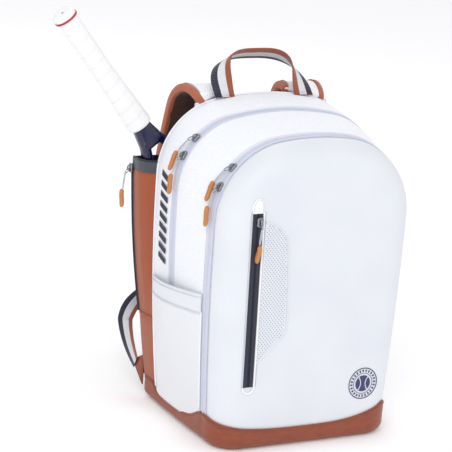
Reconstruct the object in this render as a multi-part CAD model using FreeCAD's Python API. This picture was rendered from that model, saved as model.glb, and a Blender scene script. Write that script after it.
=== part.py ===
import FreeCAD, Part
import math
import os

# A racket backpack that stands on its base, with a racket in the sleeve behind its compartments.
# +Z is up, the front panel faces -Y, and the origin is the centre of the base's underside.
# Lengths are in millimetres and angles in degrees.

V = FreeCAD.Vector

# ---- Overall size of the bag ----
FRONT_DEPTH = 50.0          # front panel, from its face to the front zip
MID_DEPTH = 96.0            # front compartment, between the two zips
REAR_DEPTH = 66.0           # main compartment, behind the rear zip
SLEEVE_DEPTH = 42.0         # racket sleeve
BASE_WIDTH = 290.0
FRONT_WIDTH = BASE_WIDTH + 22.0     # widths at the front zip, the rear zip and the sleeve seam
MID_WIDTH = BASE_WIDTH + 48.0
REAR_WIDTH = BASE_WIDTH + 44.0
SLEEVE_WIDTH = BASE_WIDTH + 54.0
REAR_HEIGHT = 484.0
MID_HEIGHT = REAR_HEIGHT - 11.0     # heights of the other two arches and the sleeve
FRONT_HEIGHT = REAR_HEIGHT - 28.0
SLEEVE_HEIGHT = REAR_HEIGHT - 42.0
SLEEVE_SLOPE = 8.0          # the sleeve's top falls this much from front to rear
FRONT_CORNER_R = 116.0      # shoulder radii of the arches
MID_CORNER_R = 104.0
REAR_CORNER_R = 109.0
CROWN_R = 400.0             # shallow top between the shoulders
BASE_HEIGHT = 30.0

# ---- Walls and clearances ----
PANEL_WALL = 5.0            # moulded front panel
GUSSET_WALL = 4.0
BASE_WALL = 3.0
SLEEVE_WALL = 2.5
DIVIDER_WALL = 3.0
DIVIDER_FOOT = 20.0         # how far the rear divider reaches down into the base
FRONT_ROUND = 38.0          # round between the front face and the sides
BASE_ROUND = 13.0           # round under the base
BASE_REAR_CORNER_R = 16.0
BODY_GAP = 0.4              # between pieces that move apart
TILT_ROOM = 4.5             # front section passes this far inside the side pockets as it tilts
FAR = 400.0                 # beyond the bag on every side, for cutting boxes
ZIP_GAP = 0.2               # half of the slit in a closed zip

# ---- Zips ----
TAPE_HALF = 8.0             # visible width of one tape
TAPE_SINK = 1.5             # tapes lie this far below the fabric
TAPE_WALL = 2.0
SLIDER_LENGTH = 15.0
SLIDER_WIDTH = 11.0
SLIDER_HEIGHT = 4.5
SLIDER_LIFT = 1.8           # sliders stand this far above their tape
BRIDGE_HEIGHT = 3.5
CORD_R = 1.6
GRIP_LENGTH = 27.0
GRIP_R = 3.4
CORD_LENGTH = 30.0
KNOT_LIFT = 10.5            # heights of a hanging pull's knot and grip end above the tape
GRIP_LIFT = 12.5
UPPER_PULL_SIDE = 10.0      # the upper pull lies this far behind its zip, the lower one nearly on it
LOWER_PULL_SIDE = 1.0
FRONT_ZIP_ANGLES = (41.0, 25.0)     # where the two parked sliders stand on the shoulder
REAR_ZIP_ANGLES = (44.0, 27.0)

# ---- Front pocket ----
POCKET_ZIP_X = -107.0
POCKET_ZIP_TOP = 362.0
POCKET_ZIP_BOTTOM = 99.0
POCKET_TAPE_WIDTH = 17.0
POCKET_TAPE_SINK = 1.0
GARAGE_HEIGHT = 20.0
GARAGE_THICK = 3.5
LINING_WALL = 1.5
LINING_INSET = 4.0          # lining's edge inside the panel's wall
LINING_Y = 8.0              # lining's distance in front of the front zip
ACCENT_THICK = 1.2
ACCENT_WIDTH = 47.0
ACCENT_TOP = 346.0
ACCENT_BOTTOM = 132.0
EMBLEM_R = 25.0
EMBLEM_X = 91.0
EMBLEM_Z = 86.0
EMBLEM_THICK = 0.8

# ---- Laptop pouch ----
LAPTOP_DEPTH = 32.0
LAPTOP_WALL = 4.0
LAPTOP_HALF_WIDTH = 124.0
LAPTOP_LOW = 40.0
LAPTOP_HIGH = 300.0
BOARD_THICK = 2.5           # stiffener in the base

# ---- Side pockets ----
SIDE_POCKET_TOP = 210.0
SIDE_POCKET_BOTTOM = 36.0
SIDE_POCKET_GAP = 12.0      # room between the pocket's mesh and the gusset
SIDE_POCKET_WALL = 1.5
SIDE_POCKET_EDGE = 2.0      # thickness of its front and rear edges
SIDE_POCKET_REAR = 6.0      # it stops this far short of the sleeve seam

# ---- Racket sleeve and back ----
MOUTH_Z = SLEEVE_HEIGHT - 58.0      # the sleeve is open above this height, left of MOUTH_X
MOUTH_X = -8.0
COLLAR_HEIGHT = 18.0
MOUTH_BULGE = 18.0          # the racket's throat bows the left side out at the mouth
FLAP_Z = 140.0              # the zipped side flap runs from here up to the mouth
SIDE_CUT_X = 100.0          # left of this, the sleeve's side is the flap's
BACK_PANEL_THICK = 12.0
BACK_PANEL_WIDTH = BASE_WIDTH + 2.0
BACK_PANEL_TOP = SLEEVE_HEIGHT - 2.0
BACK_PANEL_BOTTOM = 34.0
BACK_PANEL_CORNER_R = 100.0
BACK_PAD_THICK = 7.0
PAD_INNER_X = 14.0
PAD_OUTER_X = 108.0
PAD_LOW = 96.0
PAD_HIGH = BACK_PANEL_TOP - 42.0
PAD_CORNER_R = 26.0
YOKE_HEIGHT = 21.0
YOKE_HALF_WIDTH = 112.0
YOKE_THICK = 3.5
TAB_REACH = 40.0            # strap tab, behind the sleeve
TAB_LOW = 16.0
TAB_HIGH = 68.0
TAB_THICK = 3.0

# ---- Straps, webbing and handle ----
STRAP_ROOT_X = 75.0
STRAP_END_X = 112.0
STRAP_ROOT_WIDTH = 66.0
STRAP_END_WIDTH = 56.0
STRAP_THICK = 11.0
STRAP_LINING = 1.6
STRAP_START_HEADING = 38.0
STRAP_FOLD_HEADING = -80.0
STRAP_END_HEADING = -96.0
STRAP_FOLD_R = 42.0
STRAP_LENGTH = 352.0
WEBBING_WIDTH = 25.0
WEBBING_THICK = 1.6
LOCK_HEIGHT = 26.0
LOCK_WIDTH = 36.0
LOCK_THICK = 4.5
LOCK_BAR = 3.5
LOCK_SLOT = 7.0
LOCK_DROP = 3.4             # below the strap's end, so that the buckle can swing
WEBBING_BOW = V(-8.0, 88.0, -26.0)  # slack webbing: the bow's control point, past the back panel
HANDLE_WIDTH = 32.0
HANDLE_THICK = 2.4
HANDLE_SPAN = 134.0         # between the middles of the two feet
HANDLE_HEIGHT = 70.0
HANDLE_LEAN = 38.0

# ---- Racket ----
RACKET_LENGTH = 685.0
RACKET_LEAN = 38.3          # from upright, towards -X
RACKET_THICK = 22.0
HEAD_LENGTH = 330.0
HEAD_WIDTH = 245.0
HOOP_WIDTH = 11.5
THROAT_LENGTH = 34.0        # shaft between the grip and where its two arms part
SHAFT_WIDTH = 28.0
ARM_WIDTH = 16.0
ARM_THICK = 19.8
GRIP_SPAN = 214.0
GRIP_WIDTH = 32.0
GRIP_THICK = 28.0
BUTT_LENGTH = 12.0
BUTT_WIDTH = 38.0
BUTT_POINT_X = -325.0
BUTT_POINT_Z = 605.5
STRINGS_THICK = 1.4

# ---- Planes that follow from the sizes above ----
BASE_DEPTH = FRONT_DEPTH + MID_DEPTH + REAR_DEPTH + SLEEVE_DEPTH
Y_FRONT = -BASE_DEPTH / 2
Y_SEAM1 = Y_FRONT + FRONT_DEPTH
Y_SEAM2 = Y_SEAM1 + MID_DEPTH
Y_SEAM3 = Y_SEAM2 + REAR_DEPTH
Y_BACK = BASE_DEPTH / 2
Y_RACKET = (Y_SEAM3 + Y_BACK) / 2
SLEEVE_SLIDER_Y = Y_BACK - SLEEVE_WALL / 2

FRONT_ARCH = (Y_SEAM1, FRONT_WIDTH / 2, FRONT_HEIGHT, FRONT_CORNER_R)
MID_ARCH = (Y_SEAM2, MID_WIDTH / 2, MID_HEIGHT, MID_CORNER_R)
REAR_ARCH = (Y_SEAM3, REAR_WIDTH / 2, REAR_HEIGHT, REAR_CORNER_R)
SLEEVE_SEAM_ARCH = REAR_ARCH
SLEEVE_FRONT_ARCH = (Y_SEAM3, REAR_WIDTH / 2, SLEEVE_HEIGHT + SLEEVE_SLOPE, REAR_CORNER_R)
SLEEVE_REAR_ARCH = (Y_BACK, SLEEVE_WIDTH / 2, SLEEVE_HEIGHT, REAR_CORNER_R)


# ---- Geometry helpers ----

def between(arch_a, arch_b, y):
    """The arch at depth y on the straight surface through two arches."""
    share = (y - arch_a[0]) / (arch_b[0] - arch_a[0])
    return tuple(a + (b - a) * share for a, b in zip(arch_a, arch_b))


def shoulder_centre(arch, inset=0.0):
    """Height of the shoulder arcs' centres and their distance from the middle."""
    half, top, corner = arch[1] - inset, arch[2] - inset, arch[3] - inset
    across = half - corner
    crown_z = top - (CROWN_R - inset)
    rise = math.sqrt((CROWN_R - inset - corner) ** 2 - across ** 2)
    return across, crown_z + rise


def side_x(arch, z, inset=0.0):
    """Half the bag's width at height z, below the shoulders."""
    half = arch[1] - inset
    base_half = BASE_WIDTH / 2 - inset
    centre_z = shoulder_centre(arch, inset)[1]
    sweep = half - base_half
    radius = (sweep ** 2 + (centre_z - BASE_HEIGHT) ** 2) / (2 * sweep)
    return half - radius + math.sqrt(radius ** 2 - (centre_z - z) ** 2)


def arch_wire(arch, inset=0.0, z_low=BASE_HEIGHT):
    """Closed outline of the bag at one depth: sides, shoulders and crown are tangent arcs."""
    y, half, corner = arch[0], arch[1] - inset, arch[3] - inset
    crown = CROWN_R - inset
    across, centre_z = shoulder_centre(arch, inset)
    crown_z = arch[2] - inset - crown
    join = math.atan2(centre_z - crown_z, across)
    foot = side_x(arch, z_low, inset)
    mid_z = (z_low + centre_z) / 2
    flank = side_x(arch, mid_z, inset)
    turn = join / 2
    join_x, join_z = across + corner * math.cos(join), centre_z + corner * math.sin(join)
    turn_x, turn_z = across + corner * math.cos(turn), centre_z + corner * math.sin(turn)
    low_left, low_right = V(-foot, y, z_low), V(foot, y, z_low)
    left, right = V(-half, y, centre_z), V(half, y, centre_z)
    top_left, top_right = V(-join_x, y, join_z), V(join_x, y, join_z)
    edges = [
        Part.Arc(low_left, V(-flank, y, mid_z), left).toShape(),
        Part.Arc(left, V(-turn_x, y, turn_z), top_left).toShape(),
        Part.Arc(top_left, V(0, y, arch[2] - inset), top_right).toShape(),
        Part.Arc(top_right, V(turn_x, y, turn_z), right).toShape(),
        Part.Arc(right, V(flank, y, mid_z), low_right).toShape(),
        Part.LineSegment(low_right, low_left).toShape(),
    ]
    return Part.Wire(edges)


def arch_block(arches, inset=0.0, z_low=BASE_HEIGHT):
    """Solid whose surface runs straight from each arch to the next."""
    return Part.makeLoft([arch_wire(a, inset, z_low) for a in arches], True, True)


def box(x0, x1, y0, y1, z0, z1):
    return Part.makeBox(x1 - x0, y1 - y0, z1 - z0, V(x0, y0, z0))


def arch_wall(arch_a, arch_b, y_a, y_b, wall, z_low=BASE_HEIGHT, inset=0.0):
    """Arch-shaped wall between two depths, open at its front, rear and foot."""
    outer = arch_block([between(arch_a, arch_b, y) for y in (y_a, y_b)], inset, z_low)
    ends = [between(arch_a, arch_b, y) for y in (y_a - 1, y_b + 1)]
    inner = arch_block(ends, inset + wall, z_low - 2)
    return outer.cut(inner)


def flat_face(corners):
    return Part.Face(Part.makePolygon(corners + corners[:1]))


def prism_x(points, x0, x1):
    """Solid from a polygon in the YZ plane, between two X values."""
    return flat_face([V(x0, y, z) for y, z in points]).extrude(V(x1 - x0, 0, 0))


def rod(start, end, radius):
    return Part.makeCylinder(radius, (end - start).Length, start, end - start)


def strip(frames):
    """Flat strip through rectangular sections, each given by a centre and two half sides.

    Its faces are plane triangles, because a twisting strip has no other plane faces. Opposite
    faces are split along the same diagonal, so that a thin strip doesn't cut through itself.
    """
    rings = [[centre + half_w + half_t, centre + half_w - half_t,
              centre - half_w - half_t, centre - half_w + half_t] for centre, half_w, half_t in frames]
    faces = [flat_face(rings[0]), flat_face(rings[-1])]
    for ring, following in zip(rings, rings[1:]):
        for i in range(4):
            k = (i + 1) % 4
            if i < 2:
                halves = [ring[i], ring[k], following[k]], [ring[i], following[k], following[i]]
            else:
                halves = [ring[i], ring[k], following[i]], [ring[k], following[k], following[i]]
            faces += [flat_face(half) for half in halves]
    solid = Part.Solid(Part.Shell(faces))
    return solid if solid.Volume > 0 else solid.reversed()


def mirrored(shape):
    return shape.mirror(V(0, 0, 0), V(1, 0, 0))


# ---- Base ----

def base_block(inset, z0, z1):
    """Footprint of the bag, with large round corners at the front."""
    half = BASE_WIDTH / 2 - inset
    block = box(-half, half, Y_FRONT + inset, Y_BACK - inset, z0, z1)
    upright = [e for e in block.Edges if e.BoundBox.ZLength > (z1 - z0) / 2]
    front = [e for e in upright if e.BoundBox.YMax < 0]
    block = block.makeFillet(FRONT_ROUND - inset, front)
    upright = [e for e in block.Edges if e.BoundBox.ZLength > (z1 - z0) / 2]
    rear = [e for e in upright if e.BoundBox.YMin > Y_BACK - inset - 1]
    return block.makeFillet(BASE_REAR_CORNER_R - inset, rear)


def base_shell():
    outer = base_block(0, 0, BASE_HEIGHT)
    low = [e for e in outer.Edges if e.BoundBox.ZMax < 0.01]
    outer = outer.makeFillet(BASE_ROUND, low)
    inner = base_block(BASE_WALL, BASE_WALL, BASE_HEIGHT + 1)
    low = [e for e in inner.Edges if e.BoundBox.ZMax < BASE_WALL + 0.01]
    return outer.cut(inner.makeFillet(BASE_ROUND - BASE_WALL, low))


def base_board():
    """Stiffener that lies on the base's floor, clear of its rounded edge."""
    return base_block(BASE_ROUND + 1, BASE_WALL, BASE_WALL + BOARD_THICK)


# ---- Main compartment and its rear wall ----

def rear_gusset():
    return arch_wall(MID_ARCH, REAR_ARCH, Y_SEAM2 + TAPE_HALF, Y_SEAM3, GUSSET_WALL)


def sleeve_divider():
    """Wall between the main compartment and the racket sleeve."""
    ends = [between(MID_ARCH, REAR_ARCH, y) for y in (Y_SEAM3 - DIVIDER_WALL, Y_SEAM3)]
    return arch_block(ends, GUSSET_WALL, BASE_HEIGHT - DIVIDER_FOOT)


def laptop_sleeve():
    """Padded pouch on the divider: a front wall and three closed edges, open at the top."""
    rear, wall, half = Y_SEAM3 - DIVIDER_WALL, LAPTOP_WALL, LAPTOP_HALF_WIDTH
    front = rear - LAPTOP_DEPTH
    outer = box(-half, half, front, rear, LAPTOP_LOW, LAPTOP_HIGH)
    return outer.cut(box(-half + wall, half - wall, front + wall, rear, LAPTOP_LOW + wall, LAPTOP_HIGH + 1))


# ---- Front compartment ----

def mid_gusset():
    low = BASE_HEIGHT + BODY_GAP
    return arch_wall(FRONT_ARCH, MID_ARCH, Y_SEAM1 + TAPE_HALF, Y_SEAM2 - TAPE_HALF, GUSSET_WALL, low)


def mid_divider():
    """Padded wall at the back of the front compartment."""
    arch = between(FRONT_ARCH, MID_ARCH, Y_SEAM2 - TAPE_HALF - DIVIDER_WALL)
    face = Part.Face(arch_wire(arch, GUSSET_WALL + BODY_GAP, BASE_HEIGHT + BODY_GAP))
    return face.extrude(V(0, DIVIDER_WALL, 0))


def side_pocket():
    """Left pocket: a mesh wall that stands off the gusset, closed at its front, rear and floor.

    Its front edge leaves room for the front section, which tilts forward past it.
    """
    z0, z1 = SIDE_POCKET_BOTTOM, SIDE_POCKET_TOP
    y0, y1 = Y_SEAM1 + TAPE_HALF, Y_SEAM3 - SIDE_POCKET_REAR
    stations = [between(FRONT_ARCH, MID_ARCH, y0), MID_ARCH, between(MID_ARCH, REAR_ARCH, y1)]
    outside = arch_block(stations, -SIDE_POCKET_GAP - SIDE_POCKET_WALL, z0)
    inside = arch_block(stations, -BODY_GAP, z0 - 1)
    beside_tilt = arch_block(stations, -TILT_ROOM, z0 - 1)
    beside_tilt = beside_tilt.common(box(-FAR, 0, y0 - 1, Y_SEAM2, z0 - 1, z1 + 1))
    wide = [between(FRONT_ARCH, MID_ARCH, y0 - 1), MID_ARCH, between(MID_ARCH, REAR_ARCH, y1 + 1)]
    room = arch_block(wide, -SIDE_POCKET_GAP, z0 - 1)
    edge = SIDE_POCKET_EDGE
    room = room.common(box(-FAR, 0, y0 + edge, y1 - edge, z0 + SIDE_POCKET_WALL, z1 + 1))
    wall = outside.common(box(-FAR, 0, y0, y1, z0, z1))
    return wall.cut(inside).cut(beside_tilt).cut(room)


# ---- Front panel ----

def front_block(inset):
    """Outer or inner form of the moulded front panel."""
    rear = Y_SEAM1 - TAPE_HALF + (1 if inset else 0)
    arch = (rear,) + FRONT_ARCH[1:]
    depth = rear - Y_FRONT - inset
    block = Part.Face(arch_wire(arch, inset, BASE_HEIGHT - 20)).extrude(V(0, -depth, 0))
    face_y = Y_FRONT + inset
    rim = [e for e in block.Edges
           if e.BoundBox.YMax < face_y + 0.01 and e.BoundBox.ZMax > BASE_HEIGHT]
    return block.makeFillet(FRONT_ROUND - inset, rim)


def pocket_slot(width, y0, y1):
    """Upright slot with a round lower end, for the pocket zip."""
    half = width / 2
    low = POCKET_ZIP_BOTTOM + half
    slot = box(POCKET_ZIP_X - half, POCKET_ZIP_X + half, y0, y1, low, POCKET_ZIP_TOP)
    end = Part.makeCylinder(half, y1 - y0, V(POCKET_ZIP_X, y0, low), V(0, 1, 0))
    return slot.fuse(end).removeSplitter()


def front_panel():
    shell = front_block(0).cut(front_block(PANEL_WALL))
    trim = box(-FAR, FAR, Y_FRONT - 1, 0, -FAR, BASE_HEIGHT + BODY_GAP)
    slot = pocket_slot(POCKET_TAPE_WIDTH, Y_FRONT - 1, Y_FRONT + PANEL_WALL + 1)
    return shell.cut(trim).cut(slot)


def front_lining():
    """Fabric wall that closes the front pocket at its back."""
    arch = (Y_SEAM1 - TAPE_HALF - LINING_Y,) + FRONT_ARCH[1:]
    face = Part.Face(arch_wire(arch, PANEL_WALL + BODY_GAP + LINING_INSET, BASE_HEIGHT + BODY_GAP))
    return face.extrude(V(0, LINING_WALL, 0))


def pocket_zip_tape():
    face_y = Y_FRONT + POCKET_TAPE_SINK
    return pocket_slot(POCKET_TAPE_WIDTH, face_y, face_y + TAPE_WALL)


def zip_garage():
    """Small moulded hood over the top of the pocket zip."""
    half = POCKET_TAPE_WIDTH / 2
    low, high = POCKET_ZIP_TOP - 1, POCKET_ZIP_TOP + GARAGE_HEIGHT
    neck = half * 0.55
    corners = [V(POCKET_ZIP_X - half, Y_FRONT, low), V(POCKET_ZIP_X + half, Y_FRONT, low),
               V(POCKET_ZIP_X + neck, Y_FRONT, high), V(POCKET_ZIP_X - neck, Y_FRONT, high)]
    hood = flat_face(corners).extrude(V(0, -GARAGE_THICK, 0))
    outer = [e for e in hood.Edges if e.BoundBox.YMax < Y_FRONT - GARAGE_THICK + 0.01]
    return hood.makeFillet(GARAGE_THICK * 0.45, outer)


def accent_mesh():
    """Perforated panel beside the pocket zip: straight by the zip, bowed on the other side."""
    x0 = POCKET_ZIP_X + POCKET_TAPE_WIDTH / 2 + 2
    x1 = x0 + ACCENT_WIDTH
    bow_top, bow_bottom = ACCENT_TOP - 42, ACCENT_BOTTOM + 44
    y = Y_FRONT
    p_top, p_bottom = V(x0, y, ACCENT_TOP), V(x0, y, ACCENT_BOTTOM)
    shoulder, elbow = V(x1, y, bow_top), V(x1, y, bow_bottom)
    edges = [
        Part.Arc(p_top, V(x0 + 0.68 * ACCENT_WIDTH, y, ACCENT_TOP - 17), shoulder).toShape(),
        Part.LineSegment(shoulder, elbow).toShape(),
        Part.Arc(elbow, V(x0 + 0.68 * ACCENT_WIDTH, y, ACCENT_BOTTOM + 18), p_bottom).toShape(),
        Part.LineSegment(p_bottom, p_top).toShape(),
    ]
    return Part.Face(Part.Wire(edges)).extrude(V(0, -ACCENT_THICK, 0))


def emblem():
    front = V(EMBLEM_X, Y_FRONT - EMBLEM_THICK, EMBLEM_Z)
    return Part.makeCylinder(EMBLEM_R, EMBLEM_THICK, front, V(0, 1, 0))


# ---- Zip tapes ----

def zip_tape(arch, dy0, dy1, z_low):
    """One side of a zip, between two distances from the zip's own arch."""
    ends = [(arch[0] + dy,) + arch[1:] for dy in (dy0, dy1)]
    return arch_wall(ends[0], ends[1], ends[0][0], ends[1][0], TAPE_WALL, z_low, TAPE_SINK)


def front_zip_tapes():
    low = BASE_HEIGHT + BODY_GAP
    return zip_tape(FRONT_ARCH, -TAPE_HALF, -ZIP_GAP, low), zip_tape(FRONT_ARCH, ZIP_GAP, TAPE_HALF, low)


def rear_zip_tapes():
    fore = zip_tape(MID_ARCH, -TAPE_HALF, -ZIP_GAP, BASE_HEIGHT + BODY_GAP)
    return fore, zip_tape(MID_ARCH, ZIP_GAP, TAPE_HALF, BASE_HEIGHT)


# ---- Sliders and pulls ----

def slider_at_origin():
    """Slider with its zip along Z and its outer side towards -X; the tape's surface is X = 0."""
    half_w, half_l = SLIDER_WIDTH / 2, SLIDER_LENGTH / 2
    low, high = SLIDER_LIFT, SLIDER_LIFT + SLIDER_HEIGHT
    body = box(-high, -low, -half_w, half_w, -half_l, half_l)
    upright = [e for e in body.Edges if e.BoundBox.XLength > SLIDER_HEIGHT / 2]
    body = body.makeFillet(2.5, upright)
    bridge = box(-high - BRIDGE_HEIGHT, -high, -1.8, 1.8, -half_l + 2, half_l - 2)
    gap = box(-high - BRIDGE_HEIGHT + 1.4, -high, -3, 3, -half_l + 4, half_l - 4)
    return body.fuse(bridge.cut(gap)).removeSplitter()


def shoulder_point(arch, angle, lift, dy):
    """Point over the left shoulder, lifted off the tape, at an angle above the horizontal."""
    across, centre_z = shoulder_centre(arch)
    radius = arch[3] - TAPE_SINK + lift
    turn = math.radians(angle)
    return V(-across - radius * math.cos(turn), arch[0] + dy, centre_z + radius * math.sin(turn))


def shoulder_slider(arch, angle):
    across, centre_z = shoulder_centre(arch)
    slider = slider_at_origin()
    slider.translate(V(-across - arch[3] + TAPE_SINK, arch[0], centre_z))
    slider.rotate(V(-across, 0, centre_z), V(0, 1, 0), angle)
    return slider


def pull(start, knot, end):
    """Cord loop from a slider's bridge to its moulded grip."""
    run = knot - start
    start = start + run * (2.2 / run.Length)
    cord = rod(start, knot, CORD_R)
    grip = rod(knot, end, GRIP_R)
    rims = [e for e in grip.Edges if e.Curve.TypeId == "Part::GeomCircle"]
    return cord, grip.makeFillet(GRIP_R * 0.6, rims)


def shoulder_pull(arch, angle, side):
    """Pull that lies down the shoulder, a little behind the zip."""
    reach = math.degrees(1 / arch[3])
    knot_angle = angle - CORD_LENGTH * reach
    end_angle = knot_angle - GRIP_LENGTH * reach
    start = shoulder_point(arch, angle - 3, SLIDER_LIFT + SLIDER_HEIGHT + BRIDGE_HEIGHT + 2, 0)
    knot = shoulder_point(arch, knot_angle, KNOT_LIFT, side)
    return pull(start, knot, shoulder_point(arch, end_angle, GRIP_LIFT, side + 1.5))


def pocket_slider():
    slider = slider_at_origin()
    slider.rotate(V(0, 0, 0), V(0, 0, 1), 90)
    z = POCKET_ZIP_TOP - SLIDER_LENGTH
    slider.translate(V(POCKET_ZIP_X, Y_FRONT + POCKET_TAPE_SINK, z))
    return slider


def pocket_pull():
    z = POCKET_ZIP_TOP - SLIDER_LENGTH - 3
    lift = SLIDER_LIFT + SLIDER_HEIGHT + BRIDGE_HEIGHT + 1.2
    start = V(POCKET_ZIP_X, Y_FRONT - lift, z)
    knot = V(POCKET_ZIP_X, Y_FRONT - 6.5, z - CORD_LENGTH)
    return pull(start, knot, V(POCKET_ZIP_X - 1, Y_FRONT - 5.5, z - CORD_LENGTH - GRIP_LENGTH))


def sleeve_edge(z):
    """Outer rear-left edge of the racket sleeve, above the foot of the flap."""
    low, high = side_profile(FLAP_Z, 0)[3], side_profile(MOUTH_Z, 0)[3]
    share = (z - FLAP_Z) / (MOUTH_Z - FLAP_Z)
    return V(low.x + (high.x - low.x) * share, Y_BACK, z)


def sleeve_slider():
    slider = slider_at_origin()
    edge = sleeve_edge(MOUTH_Z - COLLAR_HEIGHT)
    slider.translate(V(edge.x - TAPE_WALL, SLEEVE_SLIDER_Y, edge.z))
    return slider


def sleeve_pull():
    edge = sleeve_edge(MOUTH_Z - COLLAR_HEIGHT)
    y = SLEEVE_SLIDER_Y
    x = edge.x - TAPE_WALL - SLIDER_LIFT - SLIDER_HEIGHT - BRIDGE_HEIGHT - 2.4
    start = V(x, y, edge.z - 3)
    knot = V(x - 3, y + 0.5, edge.z - 3 - CORD_LENGTH)
    return pull(start, knot, V(x - 4, y + 1, edge.z - 3 - CORD_LENGTH - GRIP_LENGTH))


# ---- Racket sleeve and back ----

def sleeve_shell():
    """Sides, top and rear wall of the sleeve, before its mouth and flap are cut."""
    outer = arch_block([SLEEVE_FRONT_ARCH, SLEEVE_REAR_ARCH])
    ends = (Y_SEAM3 - 1, Y_BACK - SLEEVE_WALL)
    inner = arch_block([between(SLEEVE_FRONT_ARCH, SLEEVE_REAR_ARCH, y) for y in ends],
                       SLEEVE_WALL, BASE_HEIGHT - 2)
    return outer.cut(inner)


def mouth_bulge(z):
    """How far the racket's throat pushes the left side wall out at height z, from 0 to 1."""
    return (z - FLAP_Z) / (MOUTH_Z - FLAP_Z)


def side_profile(z, inset):
    """Left side of the sleeve in plan: it leaves the sleeve seam and bows out round the racket."""
    front = -side_x(SLEEVE_SEAM_ARCH, z)
    rear = -side_x(SLEEVE_REAR_ARCH, z)
    bulge = MOUTH_BULGE * mouth_bulge(z)
    y_front, y_rear = Y_SEAM3 + 0.5, Y_BACK - SLEEVE_WALL - BODY_GAP
    depth = y_rear - y_front
    return [V(front + inset, y_front, z), V(front - bulge * 0.9 + inset, y_front + depth * 0.18, z),
            V(rear - bulge + inset, y_front + depth * 0.5, z), V(rear - bulge * 0.95 + inset, y_rear, z)]


def side_wall(z0, z1):
    """Left side wall between two heights, thin and bowed."""
    wires = []
    for z in (z0, z1):
        loop = side_profile(z, 0) + side_profile(z, SLEEVE_WALL)[::-1]
        wires.append(Part.makePolygon(loop + loop[:1]))
    wall = Part.makeLoft(wires, True, True)
    return wall if wall.Volume > 0 else wall.reversed()


def racket_sleeve():
    """Sides, top and rear wall; the rear wall widens to the left to meet the bowed side."""
    high = 2 * FAR
    cut = box(-FAR, -SIDE_CUT_X, Y_SEAM3 - 1, Y_BACK - SLEEVE_WALL, FLAP_Z - BODY_GAP, high)
    mouth = box(-FAR, MOUTH_X, Y_SEAM3 - 1, Y_BACK + 1, MOUTH_Z - COLLAR_HEIGHT, high)
    return sleeve_shell().cut(cut).fuse(rear_wing(FLAP_Z, MOUTH_Z)).removeSplitter().cut(mouth)


def rear_wing(z0, z1):
    """Part of the rear wall that reaches out to the bowed side wall."""
    low_x, high_x = side_profile(z0, 0)[3].x, side_profile(z1, 0)[3].x
    inner_x = -BACK_PANEL_WIDTH / 2
    y = Y_BACK - SLEEVE_WALL
    points = [V(inner_x, y, z0), V(low_x, y, z0), V(high_x, y, z1), V(inner_x, y, z1)]
    return flat_face(points).extrude(V(0, SLEEVE_WALL, 0))


def sleeve_flap():
    return side_wall(FLAP_Z, MOUTH_Z - COLLAR_HEIGHT)


def collar_side():
    """Lined rim along the top of the side flap."""
    return side_wall(MOUTH_Z - COLLAR_HEIGHT, MOUTH_Z)


def sleeve_collar():
    """Lined rim along the top of the sleeve's rear wall."""
    low = MOUTH_Z - COLLAR_HEIGHT
    wing = rear_wing(FLAP_Z, MOUTH_Z).common(box(-FAR, 0, 0, FAR, low, MOUTH_Z))
    straight = box(-BACK_PANEL_WIDTH / 2, MOUTH_X, Y_BACK - SLEEVE_WALL, Y_BACK, low, MOUTH_Z)
    return wing.fuse(straight).removeSplitter()


def sleeve_zip_tape():
    """Tape down the outside of the rear wall's left edge."""
    down = V(0, SLEEVE_WALL, 0)
    low, high = [sleeve_edge(z) - down for z in (FLAP_Z, MOUTH_Z - COLLAR_HEIGHT)]
    out = V(-TAPE_WALL, 0, 0)
    points = [low + out, low, high, high + out]
    return flat_face(points).extrude(down)


def back_panel():
    """Padded panel against the wearer's back."""
    arch = (Y_BACK, BACK_PANEL_WIDTH / 2, BACK_PANEL_TOP, BACK_PANEL_CORNER_R)
    face = Part.Face(arch_wire(arch, 0, BACK_PANEL_BOTTOM))
    block = face.extrude(V(0, BACK_PANEL_THICK, 0))
    rim = [e for e in block.Edges if e.BoundBox.YMin > Y_BACK + BACK_PANEL_THICK - 0.01]
    return block.makeFillet(BACK_PANEL_THICK * 0.4, rim)


def back_pads():
    """Two upright cushions with a channel between them."""
    y = Y_BACK + BACK_PANEL_THICK
    pad = box(-PAD_OUTER_X, -PAD_INNER_X, y, y + BACK_PAD_THICK, PAD_LOW, PAD_HIGH)
    edges = [e for e in pad.Edges if e.BoundBox.YLength > BACK_PAD_THICK / 2]
    pad = pad.makeFillet(PAD_CORNER_R, edges)
    rim = [e for e in pad.Edges if e.BoundBox.YMin > y + BACK_PAD_THICK - 0.01]
    pad = pad.makeFillet(BACK_PAD_THICK * 0.5, rim)
    return Part.makeCompound([pad, mirrored(pad)])


def strap_yoke():
    """Reinforced strip across the top rear seam, where the straps are sewn."""
    low = SLEEVE_FRONT_ARCH[2] + BODY_GAP
    return box(-YOKE_HALF_WIDTH, YOKE_HALF_WIDTH, Y_SEAM3, Y_SEAM3 + YOKE_THICK, low, low + YOKE_HEIGHT)


def strap_tab():
    """Left triangular tab at the foot of the sleeve, which holds the webbing."""
    x = -BACK_PANEL_WIDTH / 2 - TAB_THICK - BODY_GAP
    points = [(Y_BACK, TAB_LOW), (Y_BACK + TAB_REACH, TAB_LOW + 6), (Y_BACK, TAB_HIGH)]
    return prism_x(points, x, x + TAB_THICK)


# ---- Straps, webbing and handle ----

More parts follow.
